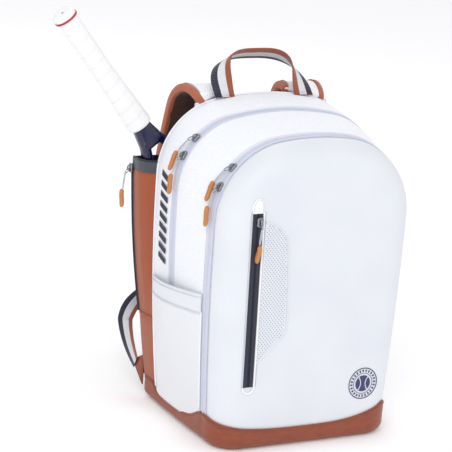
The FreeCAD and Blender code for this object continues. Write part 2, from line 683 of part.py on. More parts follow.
def strap_station(length):
    """Centre line of the left strap at a length from its seam: point, heading and width."""
    fold_turn = STRAP_START_HEADING - STRAP_FOLD_HEADING
    fold_length = math.radians(fold_turn) * STRAP_FOLD_R
    drop_turn = STRAP_FOLD_HEADING - STRAP_END_HEADING
    drop_r = (STRAP_LENGTH - fold_length) / math.radians(drop_turn)
    y, z = Y_SEAM3 + YOKE_THICK + 6.0, REAR_HEIGHT - 6.0
    heading = STRAP_START_HEADING
    for run, radius in ((min(length, fold_length), STRAP_FOLD_R), (max(length - fold_length, 0), drop_r)):
        turned = heading - math.degrees(run / radius)
        y += radius * (math.sin(math.radians(heading)) - math.sin(math.radians(turned)))
        z += radius * (math.cos(math.radians(turned)) - math.cos(math.radians(heading)))
        heading = turned
    share = length / STRAP_LENGTH
    x = -(STRAP_ROOT_X + (STRAP_END_X - STRAP_ROOT_X) * share ** 0.7)
    width = STRAP_ROOT_WIDTH + (STRAP_END_WIDTH - STRAP_ROOT_WIDTH) * share
    return V(x, y, z), heading, width


def strap_layer(low, high):
    """Layer of the left strap between two distances outward from its middle surface."""
    frames = []
    steps = 15
    for i in range(steps + 1):
        centre, heading, width = strap_station(STRAP_LENGTH * i / steps)
        turn = math.radians(heading)
        out = V(0, -math.sin(turn), math.cos(turn))
        frames.append((centre + out * ((low + high) / 2), V(width / 2, 0, 0), out * ((high - low) / 2)))
    return strip(frames)


def strap_pad():
    return strap_layer(-STRAP_THICK / 2, STRAP_THICK / 2)


def strap_lining():
    return strap_layer(-STRAP_THICK / 2 - STRAP_LINING, -STRAP_THICK / 2)


def ladder_lock():
    """Three-bar buckle below the end of the left strap."""
    centre = strap_station(STRAP_LENGTH)[0]
    top = centre.z - LOCK_DROP
    x0, x1 = centre.x - LOCK_WIDTH / 2, centre.x + LOCK_WIDTH / 2
    y0, y1 = centre.y - LOCK_THICK / 2, centre.y + LOCK_THICK / 2
    frame = box(x0, x1, y0, y1, top - LOCK_HEIGHT, top)
    bar = LOCK_BAR
    for z in (top - bar - LOCK_SLOT, top - LOCK_HEIGHT + bar):
        frame = frame.cut(box(x0 + bar, x1 - bar, y0 - 1, y1 + 1, z, z + LOCK_SLOT))
    return frame


def webbing():
    """Adjuster webbing from the left buckle, out in a slack bow, to the tab."""
    lock = strap_station(STRAP_LENGTH)[0]
    start = V(lock.x, lock.y + LOCK_THICK / 2 + 2.2, lock.z - LOCK_DROP - 4 - LOCK_HEIGHT / 2)
    tab_x = -BACK_PANEL_WIDTH / 2 - TAB_THICK - 2.0
    end = V(tab_x, Y_BACK + TAB_REACH * 0.55, (TAB_LOW + TAB_HIGH) / 2 + 4)
    bow = V((start.x + end.x) / 2, Y_BACK, (start.z + end.z) / 2) + WEBBING_BOW
    frames = []
    steps = 12
    for i in range(steps + 1):
        t = i / steps
        point = start * (1 - t) ** 2 + bow * (2 * t * (1 - t)) + end * t ** 2
        along = (bow - start) * (1 - t) + (end - bow) * t
        along.normalize()
        turn = math.radians(90 * t)
        flat = V(math.cos(turn), -math.sin(turn) * 0.72, math.sin(turn) * 0.70)
        flat = flat - along * flat.dot(along)
        flat.normalize()
        frames.append((point, flat * (WEBBING_WIDTH / 2), along.cross(flat) * (WEBBING_THICK / 2)))
    return strip(frames)


def carry_handle():
    """Webbing loop whose feet lie across the bag and whose top turns to face up."""
    frames = []
    steps = 18
    half = HANDLE_SPAN / 2
    lean = math.radians(HANDLE_LEAN)
    inner_foot = half - HANDLE_WIDTH / 2
    foot = V(0, Y_SEAM3 - 5, REAR_HEIGHT - inner_foot ** 2 / (2 * CROWN_R) + BODY_GAP + 0.8)
    up = V(0, math.sin(lean), math.cos(lean))
    deep = V(0, math.cos(lean), -math.sin(lean))
    for i in range(steps + 1):
        turn = math.pi * i / steps
        power = 0.62
        across = -math.copysign(abs(math.cos(turn)) ** power, math.cos(turn)) * half
        rise = math.sin(turn) ** power * HANDLE_HEIGHT
        twist = math.radians(90) * math.sin(turn) ** 0.8
        side = 1 if turn < math.pi / 2 else -1
        tangent_x = max(math.sin(turn), 0.0)
        tangent_up = math.cos(turn)
        along = V(tangent_x, 0, 0) + up * (tangent_up * 1.2)
        along.normalize()
        flat = V(-side * math.cos(twist), 0, 0) + deep * math.sin(twist)
        flat = flat - along * flat.dot(along)
        flat.normalize()
        centre = foot + V(across, 0, 0) + up * rise
        frames.append((centre, flat * (HANDLE_WIDTH / 2), along.cross(flat) * (HANDLE_THICK / 2)))
    return strip(frames)


# ---- Racket ----

def place_racket(shape):
    """Turn a racket piece made upright, butt at the origin and head below, into the sleeve."""
    shape.rotate(V(0, 0, 0), V(0, 1, 0), -RACKET_LEAN)
    shape.translate(V(BUTT_POINT_X, Y_RACKET, BUTT_POINT_Z))
    return shape


def ellipse_plate(length, width, thick, centre_z):
    centre = V(0, -thick / 2, centre_z)
    ring = Part.Ellipse(centre + V(0, 0, length / 2), centre + V(width / 2, 0, 0), centre)
    return Part.Face(Part.Wire([ring.toShape()])).extrude(V(0, thick, 0))


def upright_frame():
    """Hoop, throat and shaft, upright with the butt's end at the origin."""
    head_z = -RACKET_LENGTH + HEAD_LENGTH / 2
    hoop = ellipse_plate(HEAD_LENGTH, HEAD_WIDTH, RACKET_THICK, head_z)
    hoop = hoop.cut(ellipse_plate(HEAD_LENGTH - 2 * HOOP_WIDTH, HEAD_WIDTH - 2 * HOOP_WIDTH,
                                  RACKET_THICK + 2, head_z))
    split_z = -GRIP_SPAN - THROAT_LENGTH
    join_z = head_z + HEAD_LENGTH * 0.30
    join_x = HEAD_WIDTH * 0.38
    half_w, half_t = SHAFT_WIDTH / 2, ARM_THICK / 2
    arms = []
    for side in (-1, 1):
        inner_x, outer_x = join_x + 2 - ARM_WIDTH, join_x + 2
        corners = [V(side, -half_t, split_z), V(side * half_w, -half_t, split_z),
                   V(side * outer_x, -half_t, join_z), V(side * inner_x, -half_t, join_z)]
        arms.append(flat_face(corners).extrude(V(0, ARM_THICK, 0)))
    shaft = box(-half_w, half_w, -half_t, half_t, split_z, -GRIP_SPAN)
    return hoop.fuse(arms + [shaft]).removeSplitter()


def racket_frame():
    return place_racket(upright_frame())


def string_bed():
    """Strings as one thin plate inside the hoop."""
    head_z = -RACKET_LENGTH + HEAD_LENGTH / 2
    plate = ellipse_plate(HEAD_LENGTH - 2 * HOOP_WIDTH, HEAD_WIDTH - 2 * HOOP_WIDTH, STRINGS_THICK, head_z)
    return place_racket(plate.cut(upright_frame()))


def eight_sided(width, thick, z0, z1, flare=1.0):
    """Octagonal handle section, drawn between two heights."""
    wires = []
    for z, scale in ((z0, 1.0), (z1, flare)):
        a, b = width / 2 * scale, thick / 2 * scale
        corners = [V(a, b * 0.45, z), V(a * 0.45, b, z), V(-a * 0.45, b, z), V(-a, b * 0.45, z),
                   V(-a, -b * 0.45, z), V(-a * 0.45, -b, z), V(a * 0.45, -b, z), V(a, -b * 0.45, z)]
        wires.append(Part.makePolygon(corners + corners[:1]))
    return Part.makeLoft(wires, True, True)


def overgrip():
    return place_racket(eight_sided(GRIP_WIDTH, GRIP_THICK, -GRIP_SPAN, -BUTT_LENGTH))


def butt_cap():
    flare = BUTT_WIDTH / GRIP_WIDTH
    return place_racket(eight_sided(GRIP_WIDTH, GRIP_THICK, -BUTT_LENGTH, 0, flare))


# ---- Every piece, by name ----

def all_pieces():
    pieces = {
        "base_shell": base_shell(),
        "base_board": base_board(),
        "rear_gusset": rear_gusset(),
        "sleeve_divider": sleeve_divider(),
        "laptop_sleeve": laptop_sleeve(),
        "mid_gusset": mid_gusset(),
        "mid_divider": mid_divider(),
        "front_panel": front_panel(),
        "front_lining": front_lining(),
        "pocket_zip_tape": pocket_zip_tape(),
        "zip_garage": zip_garage(),
        "accent_mesh": accent_mesh(),
        "emblem": emblem(),
        "racket_sleeve": racket_sleeve(),
        "sleeve_flap": sleeve_flap(),
        "sleeve_collar": sleeve_collar(),
        "collar_side": collar_side(),
        "sleeve_zip_tape": sleeve_zip_tape(),
        "back_panel": back_panel(),
        "back_pads": back_pads(),
        "strap_yoke": strap_yoke(),
        "carry_handle": carry_handle(),
        "racket_frame": racket_frame(),
        "string_bed": string_bed(),
        "overgrip": overgrip(),
        "butt_cap": butt_cap(),
    }
    pieces["front_zip_tape_fore"], pieces["front_zip_tape_aft"] = front_zip_tapes()
    pieces["rear_zip_tape_fore"], pieces["rear_zip_tape_aft"] = rear_zip_tapes()
    paired = {"side_pocket": side_pocket(), "strap_tab": strap_tab(),
              "strap_pad": strap_pad(), "strap_lining": strap_lining(), "ladder_lock": ladder_lock(),
              "webbing": webbing()}
    for name, shape in paired.items():
        pieces[name + "_left"] = shape
        pieces[name + "_right"] = mirrored(shape)
    for zip_name, arch, angles in (("front_zip", FRONT_ARCH, FRONT_ZIP_ANGLES),
                                   ("rear_zip", MID_ARCH, REAR_ZIP_ANGLES)):
        sides = (UPPER_PULL_SIDE, LOWER_PULL_SIDE)
        for place, angle, side in zip(("upper", "lower"), angles, sides):
            name = zip_name + "_" + place
            pieces[name + "_slider"] = shoulder_slider(arch, angle)
            pieces[name + "_cord"], pieces[name + "_grip"] = shoulder_pull(arch, angle, side)
    pieces["pocket_slider"] = pocket_slider()
    pieces["pocket_cord"], pieces["pocket_grip"] = pocket_pull()
    pieces["sleeve_slider"] = sleeve_slider()
    pieces["sleeve_cord"], pieces["sleeve_grip"] = sleeve_pull()
    return pieces


os.makedirs("parts", exist_ok=True)
for name, shape in all_pieces().items():
    shape.exportStep(os.path.join("parts", name + ".step"))
    print(name, len(shape.Solids), "solids, valid", shape.isValid(), "volume", round(shape.Volume))
for name, arch in (("front zip", FRONT_ARCH), ("rear zip", MID_ARCH)):
    across, centre_z = shoulder_centre(arch)
    print(name, "shoulder centre", round(-across, 3), round(arch[0], 3), round(centre_z, 3))
print("sleeve edge", sleeve_edge(FLAP_Z), sleeve_edge(MOUTH_Z))
print("strap root", strap_station(0)[0], "strap end", strap_station(STRAP_LENGTH)[0])
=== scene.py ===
import math

import bmesh
import bpy
import numpy as np
from mathutils import Matrix, Vector, noise


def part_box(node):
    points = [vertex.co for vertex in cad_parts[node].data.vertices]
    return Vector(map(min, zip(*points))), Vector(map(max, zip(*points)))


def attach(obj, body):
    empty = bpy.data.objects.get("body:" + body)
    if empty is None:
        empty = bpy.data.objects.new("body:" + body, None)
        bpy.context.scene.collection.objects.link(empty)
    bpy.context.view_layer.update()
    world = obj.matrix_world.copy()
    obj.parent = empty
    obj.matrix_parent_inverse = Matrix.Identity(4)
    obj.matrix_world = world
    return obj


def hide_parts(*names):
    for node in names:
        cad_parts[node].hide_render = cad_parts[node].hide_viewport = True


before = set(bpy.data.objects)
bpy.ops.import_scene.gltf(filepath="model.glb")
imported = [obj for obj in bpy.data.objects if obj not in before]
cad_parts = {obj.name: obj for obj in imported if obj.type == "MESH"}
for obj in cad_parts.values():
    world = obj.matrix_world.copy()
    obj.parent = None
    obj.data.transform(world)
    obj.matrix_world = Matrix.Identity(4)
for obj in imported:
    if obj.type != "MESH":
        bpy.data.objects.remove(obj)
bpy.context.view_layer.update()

# A racket backpack: a moulded white front, two zipped compartments, a leather boot round the base,
# a terracotta racket sleeve behind, and the racket in it. Lengths are in metres.
MM = 0.001


# ---- Places taken from the frame ----

def low(node):
    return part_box(node)[0]


def high(node):
    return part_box(node)[1]


TAPE_SINK = 1.5 * MM
ZIP1_Y = (high("front_zip_tape_fore").y + low("front_zip_tape_aft").y) / 2
ZIP2_Y = (high("rear_zip_tape_fore").y + low("rear_zip_tape_aft").y) / 2
FRONT_Y = low("base_shell").y
SEAM_Y = high("rear_gusset").y
BACK_Y = high("racket_sleeve").y
BASE_HALF = high("base_shell").x
BASE_TOP = high("base_shell").z
CROWN_R = 400 * MM
FRONT_CORNER_R, MID_CORNER_R, REAR_CORNER_R, PANEL_CORNER_R = 0.116, 0.104, 0.109, 0.100
SEAM_HALF = 0.167               # half width of the bag at the sleeve seam
SLEEVE_TOP, SLEEVE_FRONT_TOP = 0.442, 0.450
BAG_TOP = 0.484
BAG_MIDDLE = np.array([0, 0.0, 0.2])
HIDDEN_FOOT = 12 * MM           # fabric runs down inside the boot to here

# y, half width, height, shoulder radius
FRONT_ARCH = (ZIP1_Y, high("front_zip_tape_fore").x + TAPE_SINK,
              high("front_zip_tape_fore").z + TAPE_SINK, FRONT_CORNER_R)
MID_ARCH = (ZIP2_Y, high("rear_zip_tape_fore").x + TAPE_SINK,
            high("rear_zip_tape_fore").z + TAPE_SINK, MID_CORNER_R)
REAR_ARCH = (SEAM_Y, SEAM_HALF, high("rear_gusset").z, REAR_CORNER_R)
SLEEVE_ARCH = (BACK_Y, high("racket_sleeve").x, SLEEVE_TOP, REAR_CORNER_R)
PANEL_ARCH = (BACK_Y, high("back_panel").x, high("back_panel").z, PANEL_CORNER_R)


# ---- Arches ----

def between(arch_a, arch_b, y):
    share = (y - arch_a[0]) / (arch_b[0] - arch_a[0])
    return tuple(a + (b - a) * share for a, b in zip(arch_a, arch_b))


def shoulder_centre(arch, inset=0.0):
    """Distance of the shoulder arcs' centres from the middle, and their height."""
    half, top, corner = arch[1] - inset, arch[2] - inset, arch[3] - inset
    across = half - corner
    rise = math.sqrt((CROWN_R - inset - corner) ** 2 - across ** 2)
    return across, top - (CROWN_R - inset) + rise


def side_x(arch, z, inset=0.0):
    """Half width at heights z, below the shoulders."""
    half, foot = arch[1] - inset, BASE_HALF - inset
    centre_z = shoulder_centre(arch, inset)[1]
    sweep = half - foot
    radius = (sweep ** 2 + (centre_z - BASE_TOP) ** 2) / (2 * sweep)
    return half - radius + np.sqrt(radius ** 2 - (centre_z - z) ** 2)


SIDE_STEPS, TURN_STEPS, CROWN_STEPS = 76, 44, 30


def arch_line(arch, inset=0.0, z_low=HIDDEN_FOOT):
    """Left foot, over the top, to the right foot: points and outward normals, as two arrays.

    Every arch has the same number of points, so that arches can be joined point to point.
    """
    y = arch[0]
    across, centre_z = shoulder_centre(arch, inset)
    corner, crown = arch[3] - inset, CROWN_R - inset
    crown_z = arch[2] - inset - crown
    join = math.atan2(centre_z - crown_z, across)
    z = np.linspace(z_low, centre_z, SIDE_STEPS, endpoint=False)
    side = np.stack([-side_x(arch, z, inset), np.full_like(z, y), z], 1)
    turn = np.linspace(0, join, TURN_STEPS, endpoint=False)
    shoulder = np.stack([-across - corner * np.cos(turn), np.full_like(turn, y), centre_z + corner * np.sin(turn)], 1)
    turn = np.linspace(join, math.pi / 2, CROWN_STEPS)
    top = np.stack([-crown * np.cos(turn), np.full_like(turn, y), crown_z + crown * np.sin(turn)], 1)
    left = np.concatenate([side, shoulder, top])
    line = np.concatenate([left, left[-2::-1] * [-1, 1, 1]])
    along = np.gradient(line, axis=0)
    out = np.stack([-along[:, 2], np.zeros(len(line)), along[:, 0]], 1)
    return line, unit(out)


def ripple(points, size, depth, seed=0.0):
    """Soft uneven offsets for an array of points, of about the given size and depth."""
    shape = points.shape[:-1]
    flat = points.reshape(-1, 3) / size + seed
    return depth * np.array([noise.noise(Vector(p)) for p in flat]).reshape(shape)


def ease(t):
    t = np.clip(t, 0, 1)
    return t * t * (3 - 2 * t)


# ---- Mesh helpers ----

def lengths(points):
    steps = np.linalg.norm(np.diff(points, axis=0), axis=1)
    return np.concatenate([[0.0], np.cumsum(steps)])


def unit(vectors):
    """Rows scaled to a length of 1."""
    return vectors / np.linalg.norm(vectors, axis=1)[:, None]


def resample(at, run, values):
    """Rows of values, known at the lengths run, read off at other lengths."""
    return np.stack([np.interp(at, run, column) for column in values.T], 1)


def grid(points, wrap=False, mat=0, uv=None):
    """Faces for a (rows, columns, 3) array of points; its UV map is in metres along both ways."""
    rows, cols = points.shape[:2]
    if uv is None:
        u = lengths(points[rows // 2])
        v = lengths(points[:, cols // 2])
        uv = np.stack(np.meshgrid(u, v), -1)
    faces, corners = [], []
    last = cols if wrap else cols - 1
    for i in range(rows - 1):
        for j in range(last):
            k = (j + 1) % cols
            faces.append((i * cols + j, i * cols + k, (i + 1) * cols + k, (i + 1) * cols + j))
            width = uv[i, k] if k else uv[i, j] + uv[i, j] - uv[i, j - 1]
            upper = uv[i + 1, k] if k else uv[i + 1, j] + uv[i + 1, j] - uv[i + 1, j - 1]
            corners += [uv[i, j], width, upper, uv[i + 1, j]]
    return [points.reshape(-1, 3), faces, corners, mat]


def cap(ring_start, count, centre, part):
    """Closes one end of a swept grid with a fan to a centre point."""
    verts, faces, corners = part[:3]
    tip = len(verts)
    part[0] = np.concatenate([verts, [centre]])
    for j in range(count):
        faces.append((ring_start + j, ring_start + (j + 1) % count, tip))
        corners += [np.zeros(2)] * 3
    return part


def sweep(path, profile, out=None, closed=False, scale=None, mat=0):
    """Profile (across, outward) carried along a path; out gives the outward direction at each point."""
    path, profile = np.asarray(path, float), np.asarray(profile, float)
    n = len(path)
    if closed:
        along = np.roll(path, -1, 0) - np.roll(path, 1, 0)
    else:
        along = np.gradient(path, axis=0)
    along = unit(along)
    if out is None:
        guess = np.array([0, 0, 1.0]) if abs(along[0][2]) < 0.9 else np.array([1.0, 0, 0])
        out = np.zeros_like(path)
        for i in range(n):
            guess = guess - along[i] * (guess @ along[i])
            guess /= np.linalg.norm(guess)
            out[i] = guess
    else:
        out = np.broadcast_to(np.asarray(out, float), path.shape).copy()
        out -= along * (out * along).sum(1)[:, None]
        out = unit(out)
    across = np.cross(along, out)
    size = np.ones(n) if scale is None else np.asarray(scale, float)
    size = size[:, None] if size.ndim == 1 else size
    if size.shape[1] == 1:
        size = np.repeat(size, 2, 1)
    points = (path[:, None, :] + across[:, None, :] * (profile[None, :, 0:1] * size[:, None, 0:1])
              + out[:, None, :] * (profile[None, :, 1:2] * size[:, None, 1:2]))
    if closed:
        points = np.concatenate([points, points[:1]])
    around = lengths(np.concatenate([profile, profile[:1]]))[:-1]
    run = lengths(points[:, 0])
    part = grid(points, wrap=True, mat=mat, uv=np.stack(np.meshgrid(around, run), -1))
    if not closed:
        count = len(profile)
        part = cap(0, count, points[0].mean(0), part)
        part = cap((n - 1) * count, count, points[-1].mean(0), part)
    return part


def round_profile(half_w, half_t, count=16, power=2.0):
    """Rounded cross-section: an ellipse at power 2, and squarer above it."""
    turn = np.linspace(0, 2 * math.pi, count, endpoint=False)
    c, s = np.cos(turn), np.sin(turn)
    return np.stack([half_w * np.sign(c) * np.abs(c) ** (2 / power),
                     half_t * np.sign(s) * np.abs(s) ** (2 / power)], 1)


def make(name, parts, materials, merge=1e-6, fix=True):
    """One mesh object from several parts, each with its own material index."""
    mesh = bpy.data.meshes.new(name)
    verts, faces, corners, mats = [], [], [], []
    for part_verts, part_faces, part_corners, mat in parts:
        start = len(verts)
        verts += [tuple(p) for p in part_verts]
        faces += [tuple(start + i for i in face) for face in part_faces]
        corners += list(part_corners)
        mats += [mat] * len(part_faces)
    mesh.from_pydata(verts, [], faces)
    layer = mesh.uv_layers.new(name="UVMap")
    layer.data.foreach_set("uv", np.array(corners, np.float32).ravel())
    mesh.polygons.foreach_set("material_index", np.array(mats, np.int32))
    mesh.polygons.foreach_set("use_smooth", np.full(len(faces), True))
    for material in materials:
        mesh.materials.append(material)
    built = bmesh.new()
    built.from_mesh(mesh)
    bmesh.ops.remove_doubles(built, verts=built.verts, dist=merge)
    if fix:
        bmesh.ops.recalc_face_normals(built, faces=built.faces)
    built.to_mesh(mesh)
    built.free()
    made = bpy.data.objects.new(name, mesh)
    bpy.context.scene.collection.objects.link(made)
    return made


def thicken(piece, wall, inner=0):
    """Gives a sheet its wall, inwards from the face that its normals point out of."""
    solid = piece.modifiers.new("wall", "SOLIDIFY")
    solid.thickness = wall
    solid.offset = -1
    solid.material_offset = inner
    solid.material_offset_rim = 0
    return piece


def soften(piece, levels=1):
    """Rounds a piece by subdivision."""
    sub = piece.modifiers.new("subdivide", "SUBSURF")
    sub.levels = levels
    sub.render_levels = levels
    return piece


def outward(piece, centre):
    """Turns a sheet round if its faces point towards a centre."""
    mesh = piece.data
    score = sum((Vector(f.center) - Vector(centre)).dot(f.normal) * f.area for f in mesh.polygons)
    if score < 0:
        mesh.flip_normals()
    return piece


def settle(piece, body, nodes=()):
    """The finished piece rides on a body and stands for its CAD nodes."""
    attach(piece, body)
    if nodes:
        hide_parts(*nodes)
    return piece


def sheet(name, parts, materials, centre, wall, body, nodes, inner=0, **how):
    """A thin wall that faces away from a centre, on its body."""
    piece = outward(make(name, parts, materials, **how), centre)
    return settle(thicken(piece, wall, inner), body, nodes)


# ---- Materials ----

def hex_colour(code):
    """An sRGB hex code as the linear colour that a shader takes."""
    values = [int(code[i:i + 2], 16) / 255 for i in (0, 2, 4)]
    return tuple(v / 12.92 if v < 0.04045 else ((v + 0.055) / 1.055) ** 2.4 for v in values) + (1.0,)


NOISE, CELLS = "ShaderNodeTexNoise", "ShaderNodeTexVoronoi"
GRAIN = {"Detail": 3.0, "Roughness": 0.55}      # fractal noise of an even, natural breakup


def put(tree, kind, inputs=None, **settings):
    """Adds a node with its settings; each input is a value, or another node's output socket."""
    made = tree.nodes.new(kind)
    for name, value in settings.items():
        setattr(made, name, value)
    for name, value in (inputs or {}).items():
        socket = made.inputs[name]
        if isinstance(value, bpy.types.NodeSocket):
            tree.links.new(value, socket)
        else:
            socket.default_value = value
    return made


def surface(name, code, rough=0.7, **sockets):
    """A material with its Principled shader; other sockets by name, with _ for a space."""
    made = bpy.data.materials.new(name)
    made.use_nodes = True
    tree = made.node_tree
    shader = tree.nodes["Principled BSDF"]
    shader.inputs["Base Color"].default_value = hex_colour(code)
    shader.inputs["Roughness"].default_value = rough
    for key, value in sockets.items():
        shader.inputs[key.replace("_", " ")].default_value = value
    return made, tree, shader


def coordinates(tree, kind="Object", scale=(1, 1, 1)):
    """Coordinates in millimetres, stretched by a scale along each axis."""
    source = put(tree, "ShaderNodeTexCoord").outputs[kind]
    return put(tree, "ShaderNodeMapping", {"Vector": source, "Scale": [1000 * s for s in scale]}).outputs[0]


def raise_by(tree, shader, heights):
    """Chains bumps: pairs of a height socket and its depth in millimetres."""
    normal = None
    for height, depth in heights:
        inputs = {"Height": height, "Distance": depth * MM, "Strength": 1.0}
        if normal:
            inputs["Normal"] = normal
        normal = put(tree, "ShaderNodeBump", inputs).outputs[0]
    tree.links.new(normal, shader.inputs["Normal"])


def tint(tree, shader, code_low, code_high, factor, start=0.35, end=0.65):
    """Shifts the colour between two tones by a factor socket."""
    share = put(tree, "ShaderNodeMapRange", {"Value": factor, "From Min": start, "From Max": end}).outputs[0]
    mixed = put(tree, "ShaderNodeMix", data_type="RGBA")
    tree.links.new(share, mixed.inputs["Factor"])
    mixed.inputs["A"].default_value = hex_colour(code_low)
    mixed.inputs["B"].default_value = hex_colour(code_high)
    tree.links.new(mixed.outputs["Result"], shader.inputs["Base Color"])


def weave(tree, vector, pitch):
    """Over-and-under threads of a plain weave, with a pitch in millimetres, along X and Y."""
    parts = []
    split = put(tree, "ShaderNodeSeparateXYZ", {"Vector": vector})
    for axis in ("X", "Y"):
        wave = put(tree, "ShaderNodeMath", {0: split.outputs[axis], 1: 2 * math.pi / pitch}, operation="MULTIPLY")
        parts.append(put(tree, "ShaderNodeMath", {0: wave.outputs[0]}, operation="SINE").outputs[0])
    return put(tree, "ShaderNodeMath", {0: parts[0], 1: parts[1]}, operation="MULTIPLY").outputs[0]


def shell_white_painted_shade():
    """Coated white fabric: an even, silky pale face with a very fine grain and slow soft unevenness; its white is
    painted greyer and bluer than the sides' white, painted shade for the front turned from the light.
    """
    # Painted shade: DFE2E9 and the tint's two tones below are a greyer white than the sides, standing for the shade on
    # the front face.
    made, tree, shader = surface("coated_white_fabric_painted_shade", "DFE2E9", 0.52, Sheen_Weight=0.12, Coat_Weight=0.05)
    place = coordinates(tree)
    slow = put(tree, NOISE, {"Vector": place, "Scale": 1 / 90.0, "Detail": 1.0, "Roughness": 0.55}).outputs["Fac"]
    tint(tree, shader, "DDE0E7", "E1E4EA", slow)
    pores = put(tree, CELLS, {"Vector": place, "Scale": 1 / 0.8}).outputs["Distance"]
    fine = put(tree, NOISE, {"Vector": place, "Scale": 1 / 0.35, **GRAIN}).outputs["Fac"]
    raise_by(tree, shader, [(pores, 0.05), (fine, 0.03)])
    return made


def gusset_white():
    """White knitted fabric: a brighter matte side with a fine dotted knit."""
    made, tree, shader = surface("knitted_white_fabric", "EEF0F5", 0.8, Sheen_Weight=0.2)
    place = coordinates(tree, "UV")
    holes = put(tree, CELLS, {"Vector": place, "Scale": 1 / 1.5}).outputs["Distance"]
    tint(tree, shader, "DDE0E9", "F0F2F7", holes, 0.1, 0.5)
    raise_by(tree, shader, [(holes, 0.16)])
    return made


def pocket_mesh(name="open_white_mesh", shade="AEB2C0", across=2.8, pitch=2.2, radius=0.42):
    """White fabric with rows of small round holes, and the shade that shows through them."""
    made, tree, shader = surface(name, "F1F2F6", 0.75, Sheen_Weight=0.15)
    place = coordinates(tree, "UV")
    split = put(tree, "ShaderNodeSeparateXYZ", {"Vector": place})
    row = put(tree, "ShaderNodeMath", {0: split.outputs["Y"], 1: 1 / pitch}, operation="MULTIPLY").outputs[0]
    odd = put(tree, "ShaderNodeMath", {0: row, 1: 2.0}, operation="MODULO").outputs[0]
    odd = put(tree, "ShaderNodeMath", {0: odd, 1: 1.0}, operation="GREATER_THAN").outputs[0]
    shift = put(tree, "ShaderNodeMath", {0: odd, 1: 0.5}, operation="MULTIPLY").outputs[0]
    column = put(tree, "ShaderNodeMath", {0: split.outputs["X"], 1: 1 / across, 2: shift},
                 operation="MULTIPLY_ADD").outputs[0]
    local = []
    for value, size in ((column, across), (row, pitch)):
        part = put(tree, "ShaderNodeMath", {0: value}, operation="FRACT").outputs[0]
        part = put(tree, "ShaderNodeMath", {0: part, 1: 0.5}, operation="SUBTRACT").outputs[0]
        local.append(put(tree, "ShaderNodeMath", {0: part, 1: size}, operation="MULTIPLY").outputs[0])
    inside = put(tree, "ShaderNodeCombineXYZ", {"X": local[0], "Y": local[1]}).outputs[0]
    away = put(tree, "ShaderNodeVectorMath", {0: inside}, operation="LENGTH").outputs["Value"]
    tint(tree, shader, shade, "F3F4F7", away, radius, radius + 0.24)
    edge = put(tree, "ShaderNodeMapRange", {"Value": away, "From Min": radius, "From Max": radius + 0.4}).outputs[0]
    raise_by(tree, shader, [(edge, 0.35)])
    return made


def leather(name, dark, pale, gloss=0.45):
    """Full-grain leather: a pebbled face with finer pores, creased lightly, darker in its hollows."""
    made, tree, shader = surface(name, pale, gloss, Coat_Weight=0.12, Coat_Roughness=0.35)
    place = coordinates(tree)
    pebbles = put(tree, CELLS, {"Vector": place, "Scale": 1 / 1.1}, feature="SMOOTH_F1").outputs["Distance"]
    folds = put(tree, NOISE, {"Vector": coordinates(tree, scale=(1, 1, 2.5)), "Scale": 1 / 14.0, "Detail": 4.0,
                              "Roughness": 0.55}).outputs["Fac"]
    fine = put(tree, NOISE, {"Vector": place, "Scale": 1 / 0.3, **GRAIN}).outputs["Fac"]
    tint(tree, shader, dark, pale, folds, 0.3, 0.62)
    raise_by(tree, shader, [(folds, 0.5), (pebbles, -0.14), (fine, 0.04)])
    return made


def cloth(name, dark, pale, pitch=0.8, rough=0.85, folds=0.0, deep=0.12, **sockets):
    """Plain woven cloth: crossing threads at a real pitch, and slow folds if asked for."""
    made, tree, shader = surface(name, pale, rough, Sheen_Weight=0.25, **sockets)
    place = coordinates(tree, "UV")
    threads = weave(tree, place, pitch)
    tint(tree, shader, dark, pale, threads, -0.8, 0.6)
    heights = [(threads, deep)]
    if folds:
        slow = put(tree, NOISE, {"Vector": coordinates(tree, "UV", (0.35, 1, 1)), "Scale": 1 / 9.0, "Detail": 2.0,
                                 "Roughness": 0.55}).outputs["Fac"]
        heights.insert(0, (slow, folds))
    raise_by(tree, shader, heights)
    return made


def ribbed(name, stripes, pitch=2.0, half=12.5):
    """Webbing: ribs across its length at a real pitch, and stripes of colour across its width."""
    made, tree, shader = surface(name, stripes[0][1], 0.75, Sheen_Weight=0.2)
    place = coordinates(tree, "UV")
    split = put(tree, "ShaderNodeSeparateXYZ", {"Vector": place})
    ramp = put(tree, "ShaderNodeValToRGB")
    back_and_forth = put(tree, "ShaderNodeMath", {0: split.outputs["X"], 1: 2.0 * half}, operation="PINGPONG")
    share = put(tree, "ShaderNodeMapRange",
                {"Value": back_and_forth.outputs[0], "From Min": 0.0, "From Max": 2 * half})
    tree.links.new(share.outputs[0], ramp.inputs["Fac"])
    ramp.color_ramp.interpolation = "CONSTANT"
    while len(ramp.color_ramp.elements) < len(stripes):
        ramp.color_ramp.elements.new(0.5)
    for element, (start, code) in zip(ramp.color_ramp.elements, stripes):
        element.position = start
        element.color = hex_colour(code)
    tree.links.new(ramp.outputs["Color"], shader.inputs["Base Color"])
    rib = put(tree, "ShaderNodeMath", {0: split.outputs["Y"], 1: 2 * math.pi / pitch}, operation="MULTIPLY")
    rib = put(tree, "ShaderNodeMath", {0: rib.outputs[0]}, operation="SINE").outputs[0]
    raise_by(tree, shader, [(rib, 0.35), (weave(tree, place, 0.9), 0.06)])
    return made


def metal(name, code, rough):
    """Plated metal: bright, with a faint brushed breakup in its shine."""
    made, tree, shader = surface(name, code, rough, Metallic=1.0)
    place = coordinates(tree, scale=(1, 1, 6))
    breakup = put(tree, NOISE, {"Vector": place, "Scale": 1 / 2.0, **GRAIN}).outputs["Fac"]
    level = put(tree, "ShaderNodeMapRange", {"Value": breakup, "To Min": rough * 0.75, "To Max": rough * 1.35})
    tree.links.new(level.outputs[0], shader.inputs["Roughness"])
    return made


